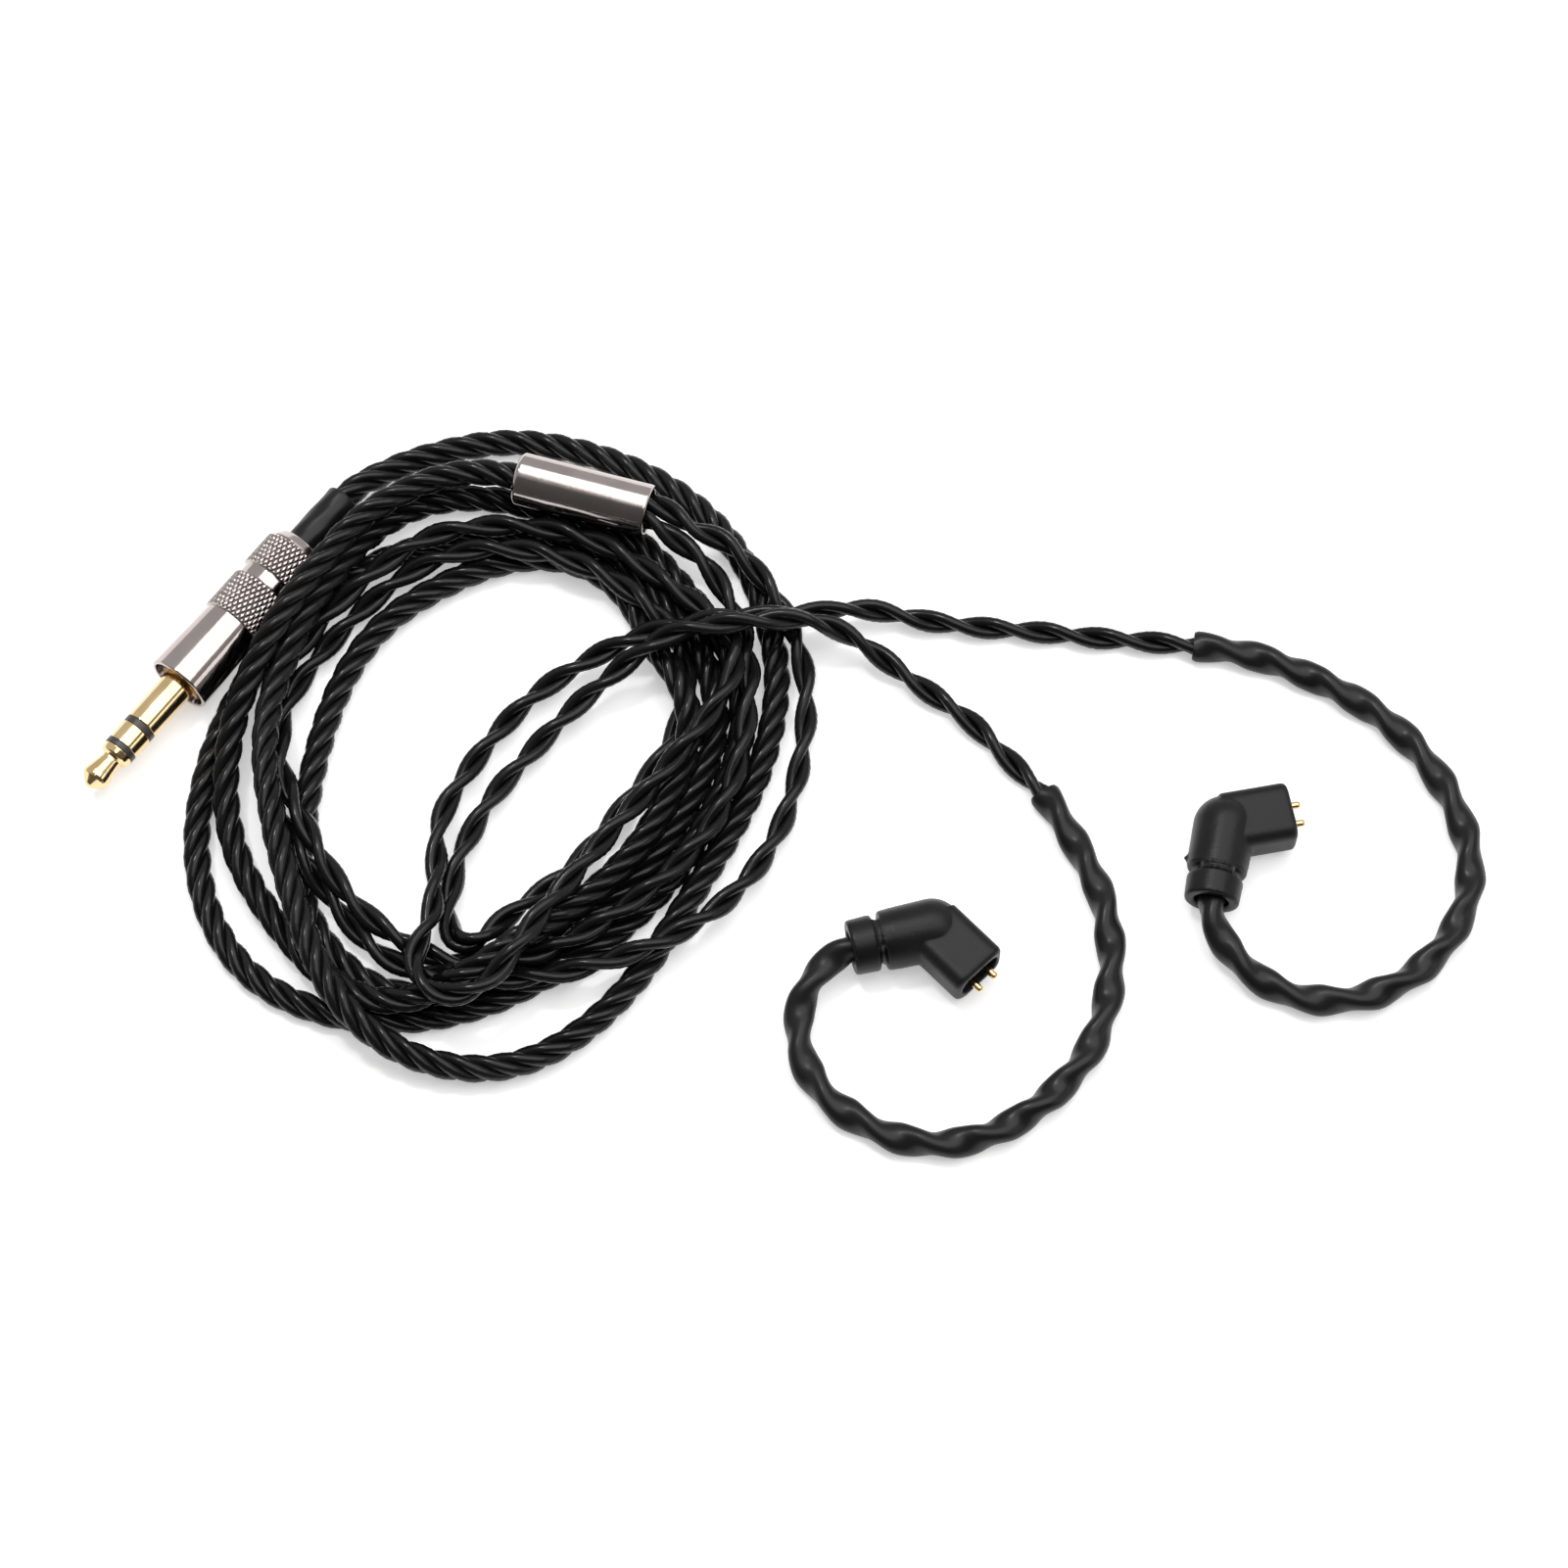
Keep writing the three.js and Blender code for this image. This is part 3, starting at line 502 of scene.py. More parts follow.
# Each rope's draft, with its radius and how many points at its start and end are held by the metal.
drafts = [
    (resampled(main_route(), SETTLE_STEP), MAIN_RADIUS, 5, 4),
    (resampled(branch_route("left"), SETTLE_STEP), PAIR_RADIUS, 3, 3),
    (resampled(branch_route("right"), SETTLE_STEP), PAIR_RADIUS, 3, 3),
]
main_line, left_line, right_line = (resampled(line, ROPE_STEP) for line in settled(drafts))

main_cable = rope("main_cable", main_line, MAIN_STRANDS, MAIN_RADIUS, MAIN_PITCH)
left_pair = rope("left_branch", left_line, PAIR_STRANDS, PAIR_RADIUS, PAIR_PITCH)
right_pair = rope("right_branch", right_line, PAIR_STRANDS, PAIR_RADIUS, PAIR_PITCH, phase=1.2)
MAIN_NODES = ["cable_coil", "main_cable_lead", "main_cable_plug_end", "main_cable_splitter_end"]
LEFT_NODES = ["left_branch_lead", "left_branch_splitter_end"]
RIGHT_NODES = ["right_branch_lead", "right_branch_splitter_end"]
for cord_piece, line, radius, nodes in (
    (main_cable, main_line, MAIN_RADIUS, MAIN_NODES),
    (left_pair, left_line, PAIR_RADIUS, LEFT_NODES),
    (right_pair, right_line, PAIR_RADIUS, RIGHT_NODES),
):
    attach(cord_piece, "cable")
    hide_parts(*nodes)

# ------------------------------------------------------------------------------------------------
# Materials
# ------------------------------------------------------------------------------------------------


def material(name, color, roughness, metallic=0.0, specular=0.5):
    """A plain material, which add_noise makes uneven."""
    made = bpy.data.materials.new(name)
    made.use_nodes = True
    shader = made.node_tree.nodes["Principled BSDF"]
    shader.inputs["Base Color"].default_value = (*color, 1)
    shader.inputs["Roughness"].default_value = roughness
    shader.inputs["Metallic"].default_value = metallic
    shader.inputs["Specular IOR Level"].default_value = specular
    return made


BUMP_DISTANCE = 0.05 * MM


def add_noise(made, scale, detail, rough_low, rough_high, color_low, color_high, bump, bump_scale):
    """Uneven colour and gloss from one noise, and a fine bump from another, in object space."""
    nodes, links = made.node_tree.nodes, made.node_tree.links
    shader = nodes["Principled BSDF"]
    where = nodes.new("ShaderNodeTexCoord").outputs["Object"]
    cloud = nodes.new("ShaderNodeTexNoise")
    cloud.inputs["Scale"].default_value = scale
    cloud.inputs["Detail"].default_value = detail
    links.new(where, cloud.inputs["Vector"])
    gloss = nodes.new("ShaderNodeMapRange")
    gloss.inputs["From Min"].default_value = 0.3
    gloss.inputs["From Max"].default_value = 0.7
    gloss.inputs["To Min"].default_value = rough_low
    gloss.inputs["To Max"].default_value = rough_high
    links.new(cloud.outputs["Fac"], gloss.inputs["Value"])
    links.new(gloss.outputs["Result"], shader.inputs["Roughness"])
    tint = nodes.new("ShaderNodeValToRGB")
    tint.color_ramp.elements[0].position = 0.3
    tint.color_ramp.elements[0].color = (*color_low, 1)
    tint.color_ramp.elements[1].position = 0.7
    tint.color_ramp.elements[1].color = (*color_high, 1)
    links.new(cloud.outputs["Fac"], tint.inputs["Fac"])
    links.new(tint.outputs["Color"], shader.inputs["Base Color"])
    grain = nodes.new("ShaderNodeTexNoise")
    grain.inputs["Scale"].default_value = bump_scale
    grain.inputs["Detail"].default_value = 3
    links.new(where, grain.inputs["Vector"])
    lift = nodes.new("ShaderNodeBump")
    lift.inputs["Strength"].default_value = bump
    lift.inputs["Distance"].default_value = BUMP_DISTANCE
    links.new(grain.outputs["Fac"], lift.inputs["Height"])
    links.new(lift.outputs["Normal"], shader.inputs["Normal"])
    return made


def jacket_material():
    made = material("cable_jacket", (0.005, 0.005, 0.005), 0.2, specular=0.26)
    return add_noise(made, 90, 2, 0.16, 0.25, (0.004, 0.004, 0.0045), (0.008, 0.008, 0.0085), 0.15, 900)


def heat_shrink_material():
    made = material("heat_shrink", (0.007, 0.007, 0.007), 0.33, specular=0.27)
    return add_noise(made, 140, 3, 0.28, 0.38, (0.005, 0.005, 0.0055), (0.01, 0.01, 0.0105), 0.25, 1400)


def overmould_material():
    made = material("overmould", (0.006, 0.006, 0.006), 0.38, specular=0.24)
    return add_noise(made, 200, 3, 0.32, 0.46, (0.004, 0.004, 0.0045), (0.009, 0.009, 0.0095), 0.4, 3200)


def gunmetal_material():
    made = material("gunmetal_plate", (0.46, 0.41, 0.39), 0.12, metallic=1)
    return add_noise(made, 260, 4, 0.08, 0.15, (0.43, 0.38, 0.36), (0.49, 0.44, 0.42), 0.08, 2600)


# Painted shade: a dark metal that stands in for the shade in the knurl's grooves.
def gunmetal_painted_shade_material():
    made = material("gunmetal_painted_shade", (0.08, 0.066, 0.06), 0.4, metallic=1)
    return add_noise(made, 260, 4, 0.34, 0.46, (0.065, 0.053, 0.05), (0.1, 0.085, 0.08), 0.08, 2600)


def gold_material():
    made = material("gold_plate", (0.8, 0.6, 0.32), 0.12, metallic=1)
    return add_noise(made, 300, 4, 0.07, 0.15, (0.76, 0.55, 0.28), (0.85, 0.65, 0.37), 0.08, 2600)


def nickel_material():
    made = material("nickel_plate", (0.62, 0.6, 0.57), 0.3, metallic=1)
    return add_noise(made, 300, 4, 0.22, 0.38, (0.56, 0.54, 0.51), (0.68, 0.66, 0.63), 0.2, 2000)


def insulator_material():
    made = material("insulator_plastic", (0.03, 0.026, 0.022), 0.35)
    return add_noise(made, 400, 3, 0.28, 0.42, (0.022, 0.018, 0.015), (0.045, 0.038, 0.032), 0.2, 2400)


def fibre_material():
    made = material("fibre_board", (0.28, 0.15, 0.08), 0.8)
    return add_noise(made, 700, 5, 0.7, 0.9, (0.2, 0.1, 0.05), (0.36, 0.2, 0.11), 0.6, 2600)


LOOKS = {
    "jacket": jacket_material(),
    "heat_shrink": heat_shrink_material(),
    "overmould": overmould_material(),
    "gunmetal": gunmetal_material(),
    "gunmetal_painted_shade": gunmetal_painted_shade_material(),
    "gold": gold_material(),
    "nickel": nickel_material(),
    "insulator": insulator_material(),
    "fibre": fibre_material(),
}

slots = {subpart["node"]: subpart["material_slot"] for subpart in frame["record"]["subparts"]}
for node, piece in frame["nodes"].items():
    piece.data.materials.clear()
    piece.data.materials.append(LOOKS[slots[node]])

for cord_piece in (main_cable, left_pair, right_pair):
    cord_piece.data.materials.append(LOOKS["jacket"])


def finish_piece(piece, slot_name, body, *nodes):
    """Gives a new piece its look, its body and the CAD nodes that it stands for."""
    piece.data.materials.append(LOOKS[slot_name])
    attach(piece, body)
    if nodes:
        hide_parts(*nodes)
    return piece


# ------------------------------------------------------------------------------------------------
# Turned pieces
# ------------------------------------------------------------------------------------------------

SUPPORT_GAP = 0.08
SHARP_ANGLE = 40


def towards(corner, neighbour, radius):
    """The point of a corner's side where its easing begins."""
    side = neighbour - corner
    span = np.linalg.norm(side)
    return corner + side / span * min(radius, 0.45 * span)


def rounded(profile, radius):
    """The profile with each corner eased, so that its edges catch the light."""
    points = [np.array(p, float) for p in profile]
    closed = np.allclose(points[0], points[-1])
    if closed:
        points = points[:-1]
    points_made = []
    for i, corner in enumerate(points):
        if not closed and i in (0, len(points) - 1):
            points_made.append(corner)
            continue
        start = towards(corner, points[i - 1], radius)
        end = towards(corner, points[(i + 1) % len(points)], radius)
        for t in (0, 0.25, 0.5, 0.75, 1):
            points_made.append((1 - t) ** 2 * start + 2 * t * (1 - t) * corner + t**2 * end)
    if closed:
        points_made.append(points_made[0])
    return [tuple(p) for p in points_made]


def supported(profile):
    """The profile with a point near both ends of each long straight run, which keeps its shading flat."""
    points = [np.array(profile[0], float)]
    for start, end in zip(profile, profile[1:]):
        start, end = np.array(start, float), np.array(end, float)
        span = np.linalg.norm(end - start)
        if span > 6 * SUPPORT_GAP:
            step = (end - start) / span * SUPPORT_GAP
            points += [start + step, end - step]
        points.append(end)
    return points


def turned(name, profile, matrix, sides=96, relief=None):
    """A body turned about its X axis from (x, radius) pairs. relief adds to the radius at (x, angle)."""
    profile = np.array(supported(profile), float)
    closed = np.allclose(profile[0], profile[-1])
    if closed:
        profile = profile[:-1]
    angle = np.arange(sides) * 2 * math.pi / sides
    radius = np.repeat(profile[:, 1:], sides, axis=1)
    if relief:
        radius = radius + relief(profile[:, :1], angle[None, :])
    x = np.repeat(profile[:, :1], sides, axis=1)
    rings = np.stack([x, radius * np.cos(angle), radius * np.sin(angle)], axis=2)
    ring = np.arange(sides)
    after = (ring + 1) % sides
    faces = []
    count = len(profile)
    for i in range(count if closed else count - 1):
        low, high = i * sides, ((i + 1) % count) * sides
        faces += np.stack([low + ring, high + ring, high + after, low + after], axis=1).tolist()
    made = mesh_object(name, rings.reshape(-1, 3), faces, matrix, smooth_angle=SHARP_ANGLE)
    if not closed:
        weld(made)
    return made


def weld(piece):
    """Joins the points of each ring that has closed on the axis."""
    body = bmesh.new()
    body.from_mesh(piece.data)
    bmesh.ops.remove_doubles(body, verts=body.verts, dist=1e-7)
    bmesh.ops.recalc_face_normals(body, faces=body.faces)
    body.to_mesh(piece.data)
    body.free()


plug_matrix = place(plug_tip, plug_yaw)
PIN_RADIUS = 1.75
PIN_CORE = 1.3
TIP_END = 4.75
RING_START = 5.4
RING_END = 7.55
SLEEVE_START = 8.35
SLEEVE_END = 18.6
FLANGE_RADIUS = 2.6


def plug_pin():
    """The three gold contacts of the pin: the waisted tip, the ring, and the sleeve with its flange."""
    tip = [
        (0, 0), (0.05, 0.26), (0.16, 0.48), (0.95, 1.38), (1.25, 1.46), (1.7, 1.42), (3.5, 1.08),
        (3.75, 1.08), (3.95, 1.45), (4.1, 1.56), (TIP_END, 1.68), (TIP_END, 0.4), (5.3, 0.4), (5.3, 0),
    ]
    ring = [
        (RING_START, 1.2), (RING_START, PIN_RADIUS), (RING_END, PIN_RADIUS), (RING_END, 1.2),
        (RING_START, 1.2),
    ]
    sleeve = [
        (SLEEVE_START, PIN_CORE), (SLEEVE_START, PIN_RADIUS), (14.6, PIN_RADIUS), (14.85, 1.85),
        (14.85, 2.3), (15, 2.45), (15.2, FLANGE_RADIUS), (SLEEVE_END, FLANGE_RADIUS),
        (SLEEVE_END, PIN_CORE), (SLEEVE_START, PIN_CORE),
    ]
    for name, profile, ease in (
        ("plug_tip", tip, 0.06),
        ("plug_ring", ring, 0.05),
        ("plug_sleeve", sleeve, 0.08),
    ):
        piece = turned(name, rounded(profile, ease), plug_matrix)
        finish_piece(piece, "gold", "cable", f"{name}_contact")


INSULATOR_GAP = 0.03
INSULATOR_RADIUS = 1.71
INSULATOR_CORE = 0.9


def plug_insulators():
    """The dark rings on both sides of the ring contact."""
    for name, start, end, node in (
        ("plug_insulator_front", TIP_END, RING_START, "plug_tip_insulator"),
        ("plug_insulator_rear", RING_END, SLEEVE_START, "plug_ring_insulator"),
    ):
        front, rear = start + INSULATOR_GAP, end - INSULATOR_GAP
        profile = [
            (front, INSULATOR_CORE), (front, INSULATOR_RADIUS), (rear, INSULATOR_RADIUS),
            (rear, INSULATOR_CORE), (front, INSULATOR_CORE),
        ]
        finish_piece(turned(name, rounded(profile, 0.05), plug_matrix), "insulator", "cable", node)


KNURL_BANDS = ((22.55, 27.15), (28.65, 32.4))
KNURL_RADIUS = 3.38
KNURL_AROUND = 36
KNURL_PITCH = 1.1
KNURL_DEPTH = 0.16
# KNURL_VALLEY: the share of the knurl's depth below which a face gets the painted shade.
KNURL_VALLEY = 0.5
KNURL_STEP = 0.075
BAND_GROOVE = 3.06
BARREL_WAIST = 3.24
BARREL_EASE = 0.08


def knurl(x, angle):
    """Crossed grooves that leave rows of small diamonds."""
    around = angle * KNURL_AROUND / (2 * math.pi)
    along = x / KNURL_PITCH
    first, second = (2 * ((around + s * along) % 1) - 1 for s in (1, -1))
    diamonds = (1 - first**4) * (1 - second**4)
    inside = sum(((x > low) & (x < high)) * 1.0 for low, high in KNURL_BANDS)
    return inside * KNURL_DEPTH * (diamonds - 1)


def knurled_band(low, high):
    """The outline of one knurled band, with fine steps for its diamonds."""
    front = [(low - 0.08, 3.1), (low - 0.06, 3.22), (low + 0.02, 3.36)]
    fine = [(x, KNURL_RADIUS) for x in np.arange(low + 0.06, high - 0.06, KNURL_STEP)]
    return front + fine + [(high - 0.02, 3.36), (high + 0.06, 3.22), (high + 0.08, 3.1)]


def barrel_outline():
    """The barrel from its mouth over both knurled bands to its rear hole, and back through its bore."""
    front, rear = PIN_LENGTH, PIN_LENGTH + BARREL_LENGTH
    first_band, second_band = KNURL_BANDS
    mouth = [
        (15.4, 2.8), (front, 3), (front, 3.28), (front + 0.15, BARREL_RADIUS),
        (first_band[0] - 0.15, BARREL_WAIST),
    ]
    groove = [(first_band[1] + 0.2, BAND_GROOVE), (second_band[0] - 0.2, BAND_GROOVE)]
    back_end = [
        (32.5, 3.1), (32.6, 3.2), (rear - 0.25, 2.72), (rear, 2.55), (rear, 2.05), (rear - 1, 2.05),
    ]
    bore = [(32, 2.7), (16, 2.7), (15.4, 2.8)]
    outline = rounded(mouth, BARREL_EASE)[1:-1] + knurled_band(*first_band) + groove
    outline += knurled_band(*second_band) + rounded(back_end, BARREL_EASE) + bore
    return outline + outline[:1]


def plug_barrel():
    """The barrel, with painted shade (a much darker metal) on the faces at the bottom of its knurl."""
    piece = turned("barrel", barrel_outline(), plug_matrix, sides=KNURL_AROUND * 8, relief=knurl)
    finish_piece(piece, "gunmetal", "barrel", "plug_barrel")
    piece.data.materials.append(LOOKS["gunmetal_painted_shade"])
    # The faces deep in the knurl's grooves get the painted shade.
    for face in piece.data.polygons:
        x, y, z = face.center / MM
        if knurl(x, math.atan2(z, y)) < -KNURL_VALLEY * KNURL_DEPTH:
            face.material_index = 1


STRAIN_RELIEF_RADIUS = 1.88
STRAIN_RELIEF_BORE = 1.36


def strain_relief():
    """The heat-shrink sleeve behind the barrel, a little uneven."""

    def uneven(x, angle):
        return 0.03 * np.sin(2 * angle + x * 0.9) + 0.02 * np.sin(5 * angle - x * 1.7)

    end = STRAIN_RELIEF_END
    profile = [(x, STRAIN_RELIEF_RADIUS) for x in np.linspace(STRAIN_RELIEF_START, end - 0.2, 40)]
    profile += [(end - 0.05, 1.82), (end, 1.72), (end, 1.45)]
    profile += [(end - 0.3, STRAIN_RELIEF_BORE), (STRAIN_RELIEF_START, STRAIN_RELIEF_BORE)]
    profile.append(profile[0])
    piece = turned("strain_relief", profile, plug_matrix, sides=64, relief=uneven)
    finish_piece(piece, "heat_shrink", "cable", "plug_strain_relief")


SPLITTER_BORE = 2.3


def splitter():
    """The splitter's tube: a rounded inlet with a small hole, and an open outlet."""
    end = SPLITTER_LENGTH
    shell = [
        (0.5, 1.55), (0, 1.6), (0, 2.3), (0.12, 2.55), (0.4, SPLITTER_RADIUS),
        (end - 0.15, SPLITTER_RADIUS), (end, 2.62), (end, 2.32), (end - 0.4, SPLITTER_BORE),
        (0.5, SPLITTER_BORE), (0.5, 1.55),
    ]
    piece = turned("splitter_tube", rounded(shell, 0.12), place(splitter_in, splitter_yaw), sides=128)
    finish_piece(piece, "gunmetal", "cable", "splitter_shell")


plug_pin()
plug_insulators()
plug_barrel()
strain_relief()
splitter()

# ------------------------------------------------------------------------------------------------
# Ear hooks and connectors
# ------------------------------------------------------------------------------------------------

HOOK_WIDE = 1.57
HOOK_NARROW = 1.14
HOOK_SIDES = 48
HOOK_STEP = 0.35
HOOK_LOBE_POWER = 2.2
HOOK_EDGE = 0.93


def ear_hook(side, points):
    """Heat-shrink sleeve over a twisted pair: the pair's twist shows through it as long soft bumps."""
    elbow, boot = connectors[side]["elbow"], connectors[side]["boot"]
    inside = [elbow - boot * (BOOT_LENGTH - 0.2), elbow - boot * (BOOT_LENGTH - 1.6)]
    route = resampled(np.vstack([bench(points), inside]), HOOK_STEP)
    tangent, across, up = travelling_frames(route)
    run = np.r_[0, np.cumsum(np.linalg.norm(np.diff(route, axis=0), axis=1))]
    angle = 2 * math.pi * run / PAIR_PITCH
    wide = across * np.cos(angle)[:, None] + up * np.sin(angle)[:, None]
    narrow = np.cross(tangent, wide)
    scale = 1 + 0.02 * np.sin(run * 0.9) + 0.015 * np.sin(run * 2.3 + 1)
    scale[0] *= HOOK_EDGE
    lobes = np.abs(np.cos(np.arange(HOOK_SIDES) * 2 * math.pi / HOOK_SIDES)) ** HOOK_LOBE_POWER
    reach = HOOK_NARROW + (HOOK_WIDE - HOOK_NARROW) * lobes
    vertices, faces = tube(route, wide, narrow, reach, scale)
    piece = mesh_object(f"{side}_hook_sleeve", vertices, faces, smooth_angle=50)
    finish_piece(piece, "heat_shrink", "cable", f"{side}_ear_hook")


BLOCK_CORNER = 1.3
BLOCK_EASE = 0.55
CORNER_STEPS = 6
EASE_STEPS = 4


def block_outline(width, height):
    """A rectangle with round corners, as points across X."""
    outline = []
    for quarter in range(4):
        across = (width / 2 - BLOCK_CORNER) * (1 if quarter in (0, 3) else -1)
        up = (height / 2 - BLOCK_CORNER) * (1 if quarter in (0, 1) else -1)
        for i in range(CORNER_STEPS + 1):
            angle = math.pi / 2 * (quarter + i / CORNER_STEPS)
            outline.append((across + BLOCK_CORNER * math.cos(angle), up + BLOCK_CORNER * math.sin(angle)))
    return np.array(outline)


def rounded_block(low, high, width, height):
    """A block along X with rounded long edges and an eased far end, as vertices and faces."""
    outline = block_outline(width, height)
    sections = [(low, 0.0)]
    for i in range(EASE_STEPS + 1):
        angle = math.pi / 2 * i / EASE_STEPS
        x = high - BLOCK_EASE + BLOCK_EASE * math.sin(angle)
        sections.append((x, BLOCK_EASE * (1 - math.cos(angle))))
    vertices, faces = [], []
    sides = len(outline)
    for x, inset in sections:
        scale = np.array([(width / 2 - inset) / (width / 2), (height / 2 - inset) / (height / 2)])
        vertices += [(x, *(p * scale)) for p in outline]
    for s in range(len(sections) - 1):
        for i in range(sides):
            j = (i + 1) % sides
            faces.append([s * sides + i, s * sides + j, (s + 1) * sides + j, (s + 1) * sides + i])
    faces.append(list(range(sides))[::-1])
    faces.append([(len(sections) - 1) * sides + i for i in range(sides)])
    return np.array(vertices), faces


def combine(target, other, operation):
    """Joins the other mesh to the target, or cuts it out, and removes it."""
    step = target.modifiers.new("combine", "BOOLEAN")
    step.operation = operation
    step.object = other
    step.solver = "EXACT"
    apply_modifiers(target)
    bpy.data.objects.remove(other)


def apply_modifiers(piece):
    """Turns a piece's modifiers into its mesh."""
    bpy.context.view_layer.update()
    graph = bpy.context.evaluated_depsgraph_get()
    mesh = bpy.data.meshes.new_from_object(piece.evaluated_get(graph))
    piece.modifiers.clear()
    piece.data = mesh


BOOT_RADIUS = 3.15
BOOT_BORE = 1.7
GROOVE_START = 2.6
GROOVE_END = 3.2
GROOVE_RADIUS = 2.15
GROOVE_EDGE = 0.05
BRIDGE_HEIGHT = 0.75
NUB_FROM_ELBOW = 4.1
NUB_HEIGHT = 0.45
NUB_RADIUS = 0.3


def boot_relief(side):
    """Relief of a boot: its groove is cut only at two sides, and the right boot keeps a moulding nub."""

    def relief(x, angle):
        in_groove = (x > -BOOT_LENGTH + GROOVE_START - 0.03) & (x < -BOOT_LENGTH + GROOVE_END + 0.03)
        bridge = np.clip((np.abs(np.sin(angle)) - 0.72) * 6, 0, 1) * in_groove * BRIDGE_HEIGHT
        around = (angle + math.pi) % (2 * math.pi) - math.pi
        nub_along = (x + NUB_FROM_ELBOW) / NUB_RADIUS
        nub_around = around * 3 / NUB_RADIUS
        nub = NUB_HEIGHT * np.exp(-(nub_along**2) - nub_around**2)
        return bridge + (nub if side == "right" else 0)

    return relief


def boot_outline():
    """A boot from its bore over its groove to the ball at the elbow."""
    from_mouth = [
        (2.2, 0), (2.2, BOOT_BORE), (0, BOOT_BORE), (0, 2.75), (GROOVE_START - GROOVE_EDGE, 2.85),
        (GROOVE_START, GROOVE_RADIUS), (GROOVE_END, GROOVE_RADIUS), (GROOVE_END + GROOVE_EDGE, 3.0),
    ]
    outline = [(x - BOOT_LENGTH, radius) for x, radius in from_mouth]
    outline += [(along - NUB_FROM_ELBOW, 3.05 + 0.1 * along) for along in (-0.2, 0, 0.2)]
    outline = rounded(outline + [(0, BOOT_RADIUS)], 0.3)
    for i in range(1, 13):
        angle = math.pi / 2 * i / 12
        outline.append((BOOT_RADIUS * math.sin(angle), BOOT_RADIUS * math.cos(angle)))
    return outline


BLOCK_WIDTH = 6.2
BLOCK_HEIGHT = 4.9
SOCKET_WIDTH = 4.8
SOCKET_HEIGHT = 3.1
SOCKET_DEPTH = 1.6
BODY_VOXEL = 0.13


def connector_body(side, matrix):
    """The overmould: the boot and the block melted into one, with the oval socket cut into its face."""
    turn = Matrix.Rotation(math.radians(BOOT_TURN[side]), 4, "Z")
    body = turned(f"{side}_connector", boot_outline(), turn, sides=72, relief=boot_relief(side))
    body.data.transform(body.matrix_world)
    body.matrix_world = Matrix.Identity(4)
    block = mesh_object("block", *rounded_block(0, BLOCK_LENGTH, BLOCK_WIDTH, BLOCK_HEIGHT))
    combine(body, block, "UNION")
    cutter = rounded_block(BLOCK_LENGTH - SOCKET_DEPTH, BLOCK_LENGTH + 2, SOCKET_WIDTH, SOCKET_HEIGHT)
    combine(body, mesh_object("socket", *cutter), "DIFFERENCE")
    remesh = body.modifiers.new("remesh", "REMESH")
    remesh.mode = "VOXEL"
    remesh.voxel_size = BODY_VOXEL * MM
    smooth = body.modifiers.new("smooth", "SMOOTH")
    smooth.factor = 0.5
    smooth.iterations = 6
    apply_modifiers(body)
    body.data.polygons.foreach_set("use_smooth", [True] * len(body.data.polygons))
    body.matrix_world = matrix
    finish_piece(body, "overmould", "cable", f"{side}_connector_body")


CONTACT_SPACING = 2.0
CONTACT_START = 2.9
CONTACT_END = 8.0
CONTACT_RADIUS = 0.39


def connector_contacts(side, matrix):
    """The two gold pins, with rounded ends."""
    profile = [
        (CONTACT_START, 0), (CONTACT_START, CONTACT_RADIUS), (CONTACT_END - 0.28, CONTACT_RADIUS),
        (CONTACT_END - 0.12, 0.33), (CONTACT_END - 0.02, 0.2), (CONTACT_END, 0),
    ]
    for name, offset in (("signal", CONTACT_SPACING / 2), ("return", -CONTACT_SPACING / 2)):
        shifted = matrix @ Matrix.Translation((0, offset * MM, 0))
        piece = turned(f"{side}_{name}_contact", rounded(profile, 0.05), shifted, sides=32)
        finish_piece(piece, "gold", "cable", f"{side}_{name}_pin")


def connector(side):
    """A connector, placed at its elbow."""
    matrix = place(connectors[side]["elbow"], connectors[side]["yaw"])
    connector_body(side, matrix)
    connector_contacts(side, matrix)


ear_hook("left", LEFT_HOOK)
ear_hook("right", RIGHT_HOOK)
connector("left")
connector("right")

# ------------------------------------------------------------------------------------------------
# Stage: floor, world and lights
# ------------------------------------------------------------------------------------------------

FLOOR_REACH = 4
FLOOR_GLOW = 0.42


def floor():
    """A pale matt floor with a faint glow of its own, so that it stays white behind the object."""
    corners = [(x * FLOOR_REACH, y * FLOOR_REACH, 0) for x, y in ((-1, -1), (1, -1), (1, 1), (-1, 1))]
    piece = mesh_object("floor", np.array(corners) / MM, [[0, 1, 2, 3]])
    paint = material("floor_white", (0.9, 0.9, 0.9), 0.7, specular=0.1)
    glow = paint.node_tree.nodes["Principled BSDF"].inputs
    glow["Emission Color"].default_value = (1, 1, 1, 1)
    glow["Emission Strength"].default_value = FLOOR_GLOW
    piece.data.materials.append(paint)


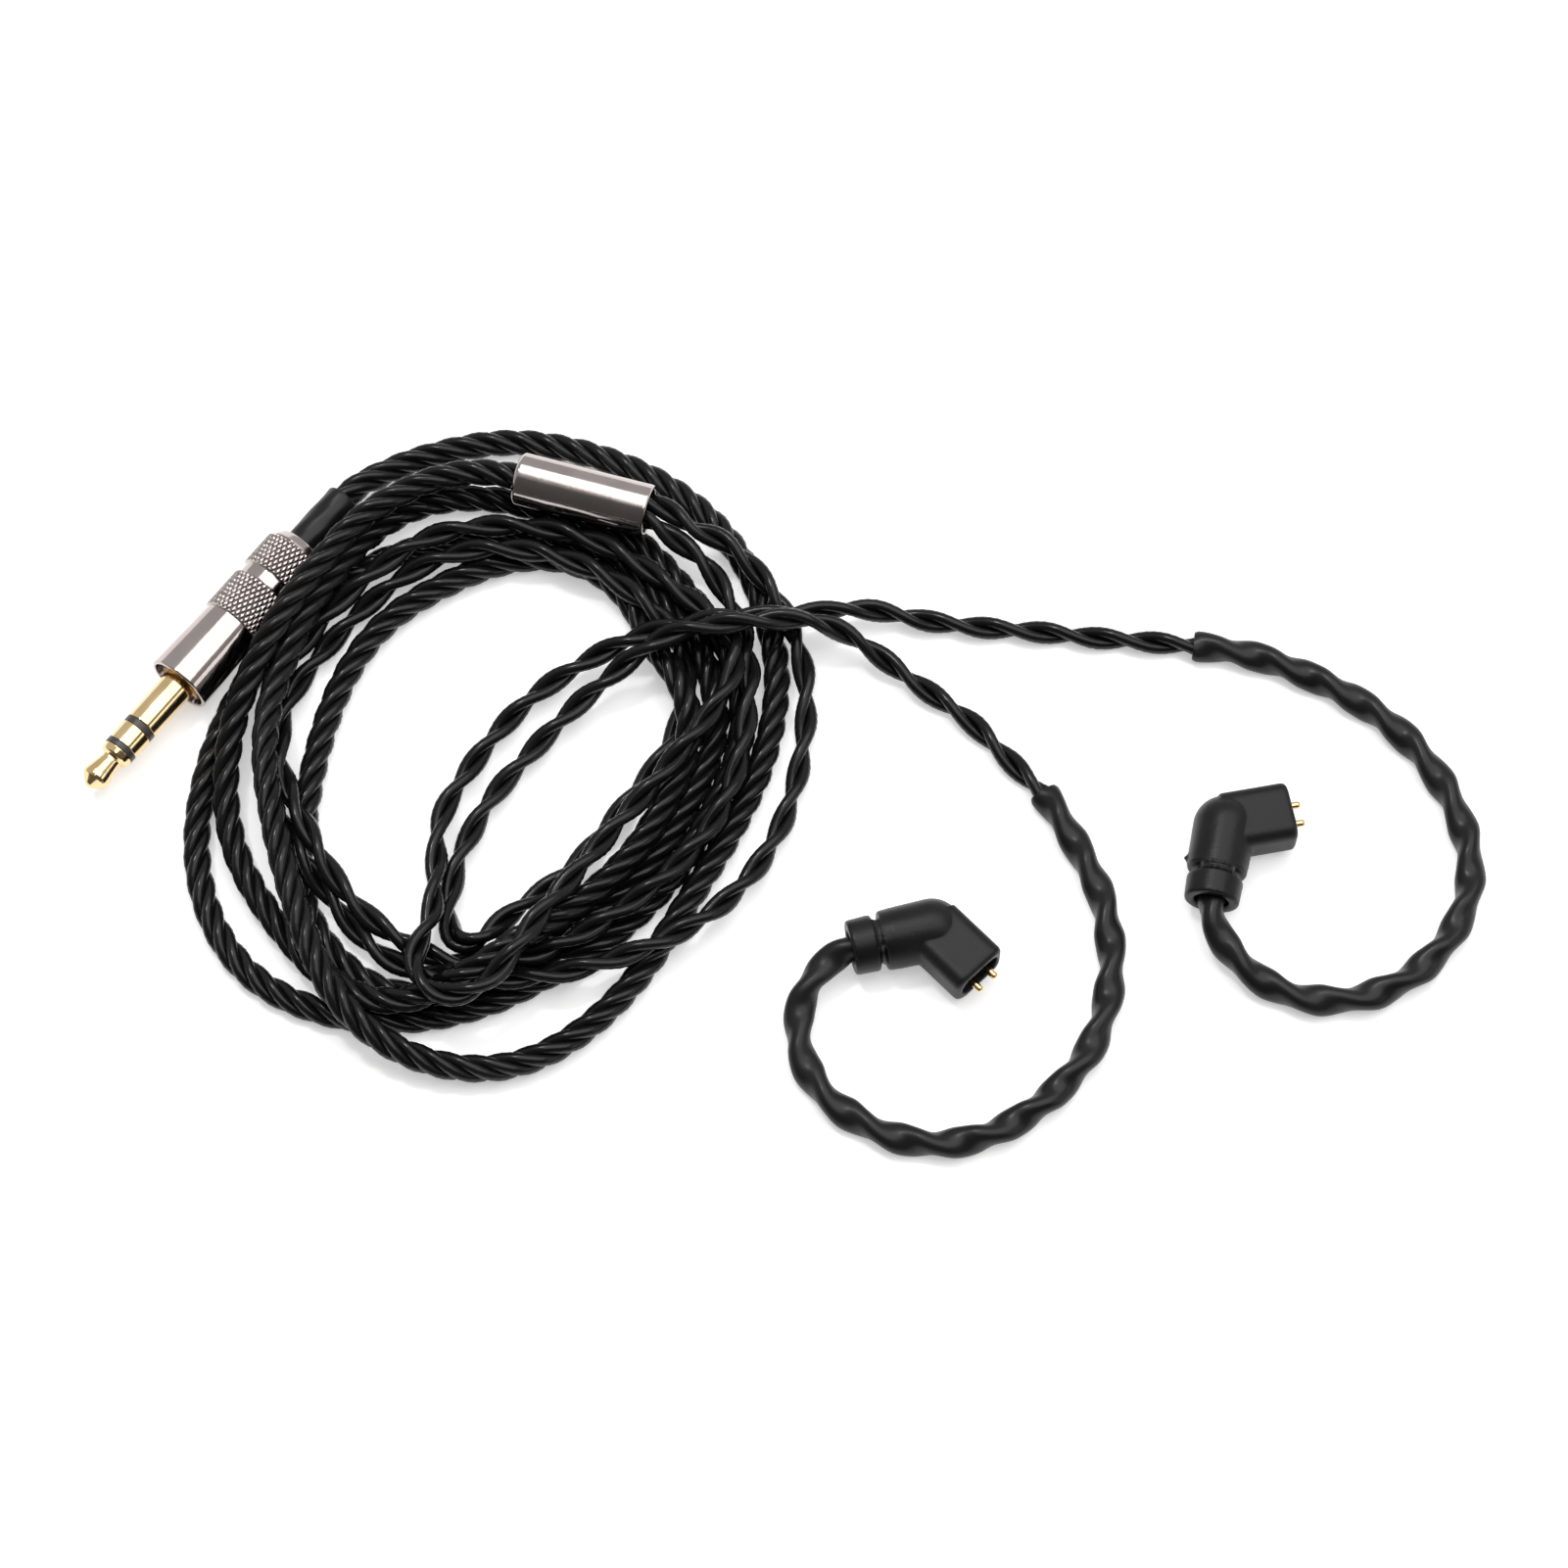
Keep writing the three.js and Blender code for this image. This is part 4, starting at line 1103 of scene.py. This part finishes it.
def soft_box(name, where, target, size, radiance):
    """A rectangular lamp whose face has the given brightness."""
    data = bpy.data.lights.new(name, "AREA")
    data.shape = "RECTANGLE"
    data.size, data.size_y = size
    data.energy = radiance * math.pi * size[0] * size[1]
    lamp = bpy.data.objects.new(name, data)
    lamp.location = where
    lamp.rotation_euler = (Vector(target) - Vector(where)).to_track_quat("-Z", "Y").to_euler()
    bpy.context.scene.collection.objects.link(lamp)


# The world's shades from front to back, and the grey levels between them as (place, brightness).
WORLD_FRONT = (0.09, 0.085, 0.08, 1)
WORLD_BACK = (0.62, 0.62, 0.63, 1)
WORLD_LEVELS = ((0.33, 0.15), (0.42, 0.45), (0.6, 0.64))


def world():
    """Pale surroundings behind and beside the object, dark towards the front."""
    made = bpy.data.worlds.new("studio")
    made.use_nodes = True
    nodes, links = made.node_tree.nodes, made.node_tree.links
    where = nodes.new("ShaderNodeTexCoord").outputs["Generated"]
    parts = nodes.new("ShaderNodeSeparateXYZ")
    links.new(where, parts.inputs["Vector"])
    spread = nodes.new("ShaderNodeMapRange")
    spread.inputs["From Min"].default_value = -1
    spread.inputs["From Max"].default_value = 1
    links.new(parts.outputs["Y"], spread.inputs["Value"])
    shade = nodes.new("ShaderNodeValToRGB")
    ramp = shade.color_ramp
    ramp.elements[0].position = 0.0
    ramp.elements[0].color = WORLD_FRONT
    ramp.elements[1].position = 1.0
    ramp.elements[1].color = WORLD_BACK
    for place_on_ramp, level in WORLD_LEVELS:
        stop = ramp.elements.new(place_on_ramp)
        stop.color = (level, level * 0.98, level * 0.97, 1)
    links.new(spread.outputs["Result"], shade.inputs["Fac"])
    links.new(shade.outputs["Color"], nodes["Background"].inputs["Color"])
    bpy.context.scene.world = made


floor()
world()

# Each lamp's name, place, the point that it faces, its size (all in metres) and its brightness.
for lamp_facts in (
    ("overhead_box", (0.25, 0.17, 0.7), (0.25, 0.17, 0), (0.82, 0.8), 2.1),
    ("key_box", (-0.22, 0.24, 0.8), (-0.02, 0, 0), (0.1, 0.1), 52),
    ("right_panel", (0.95, -0.25, 0.42), (0, 0, 0), (0.5, 0.25), 1.5),
):
    soft_box(*lamp_facts)
bpy.context.scene.view_settings.view_transform = "Standard"
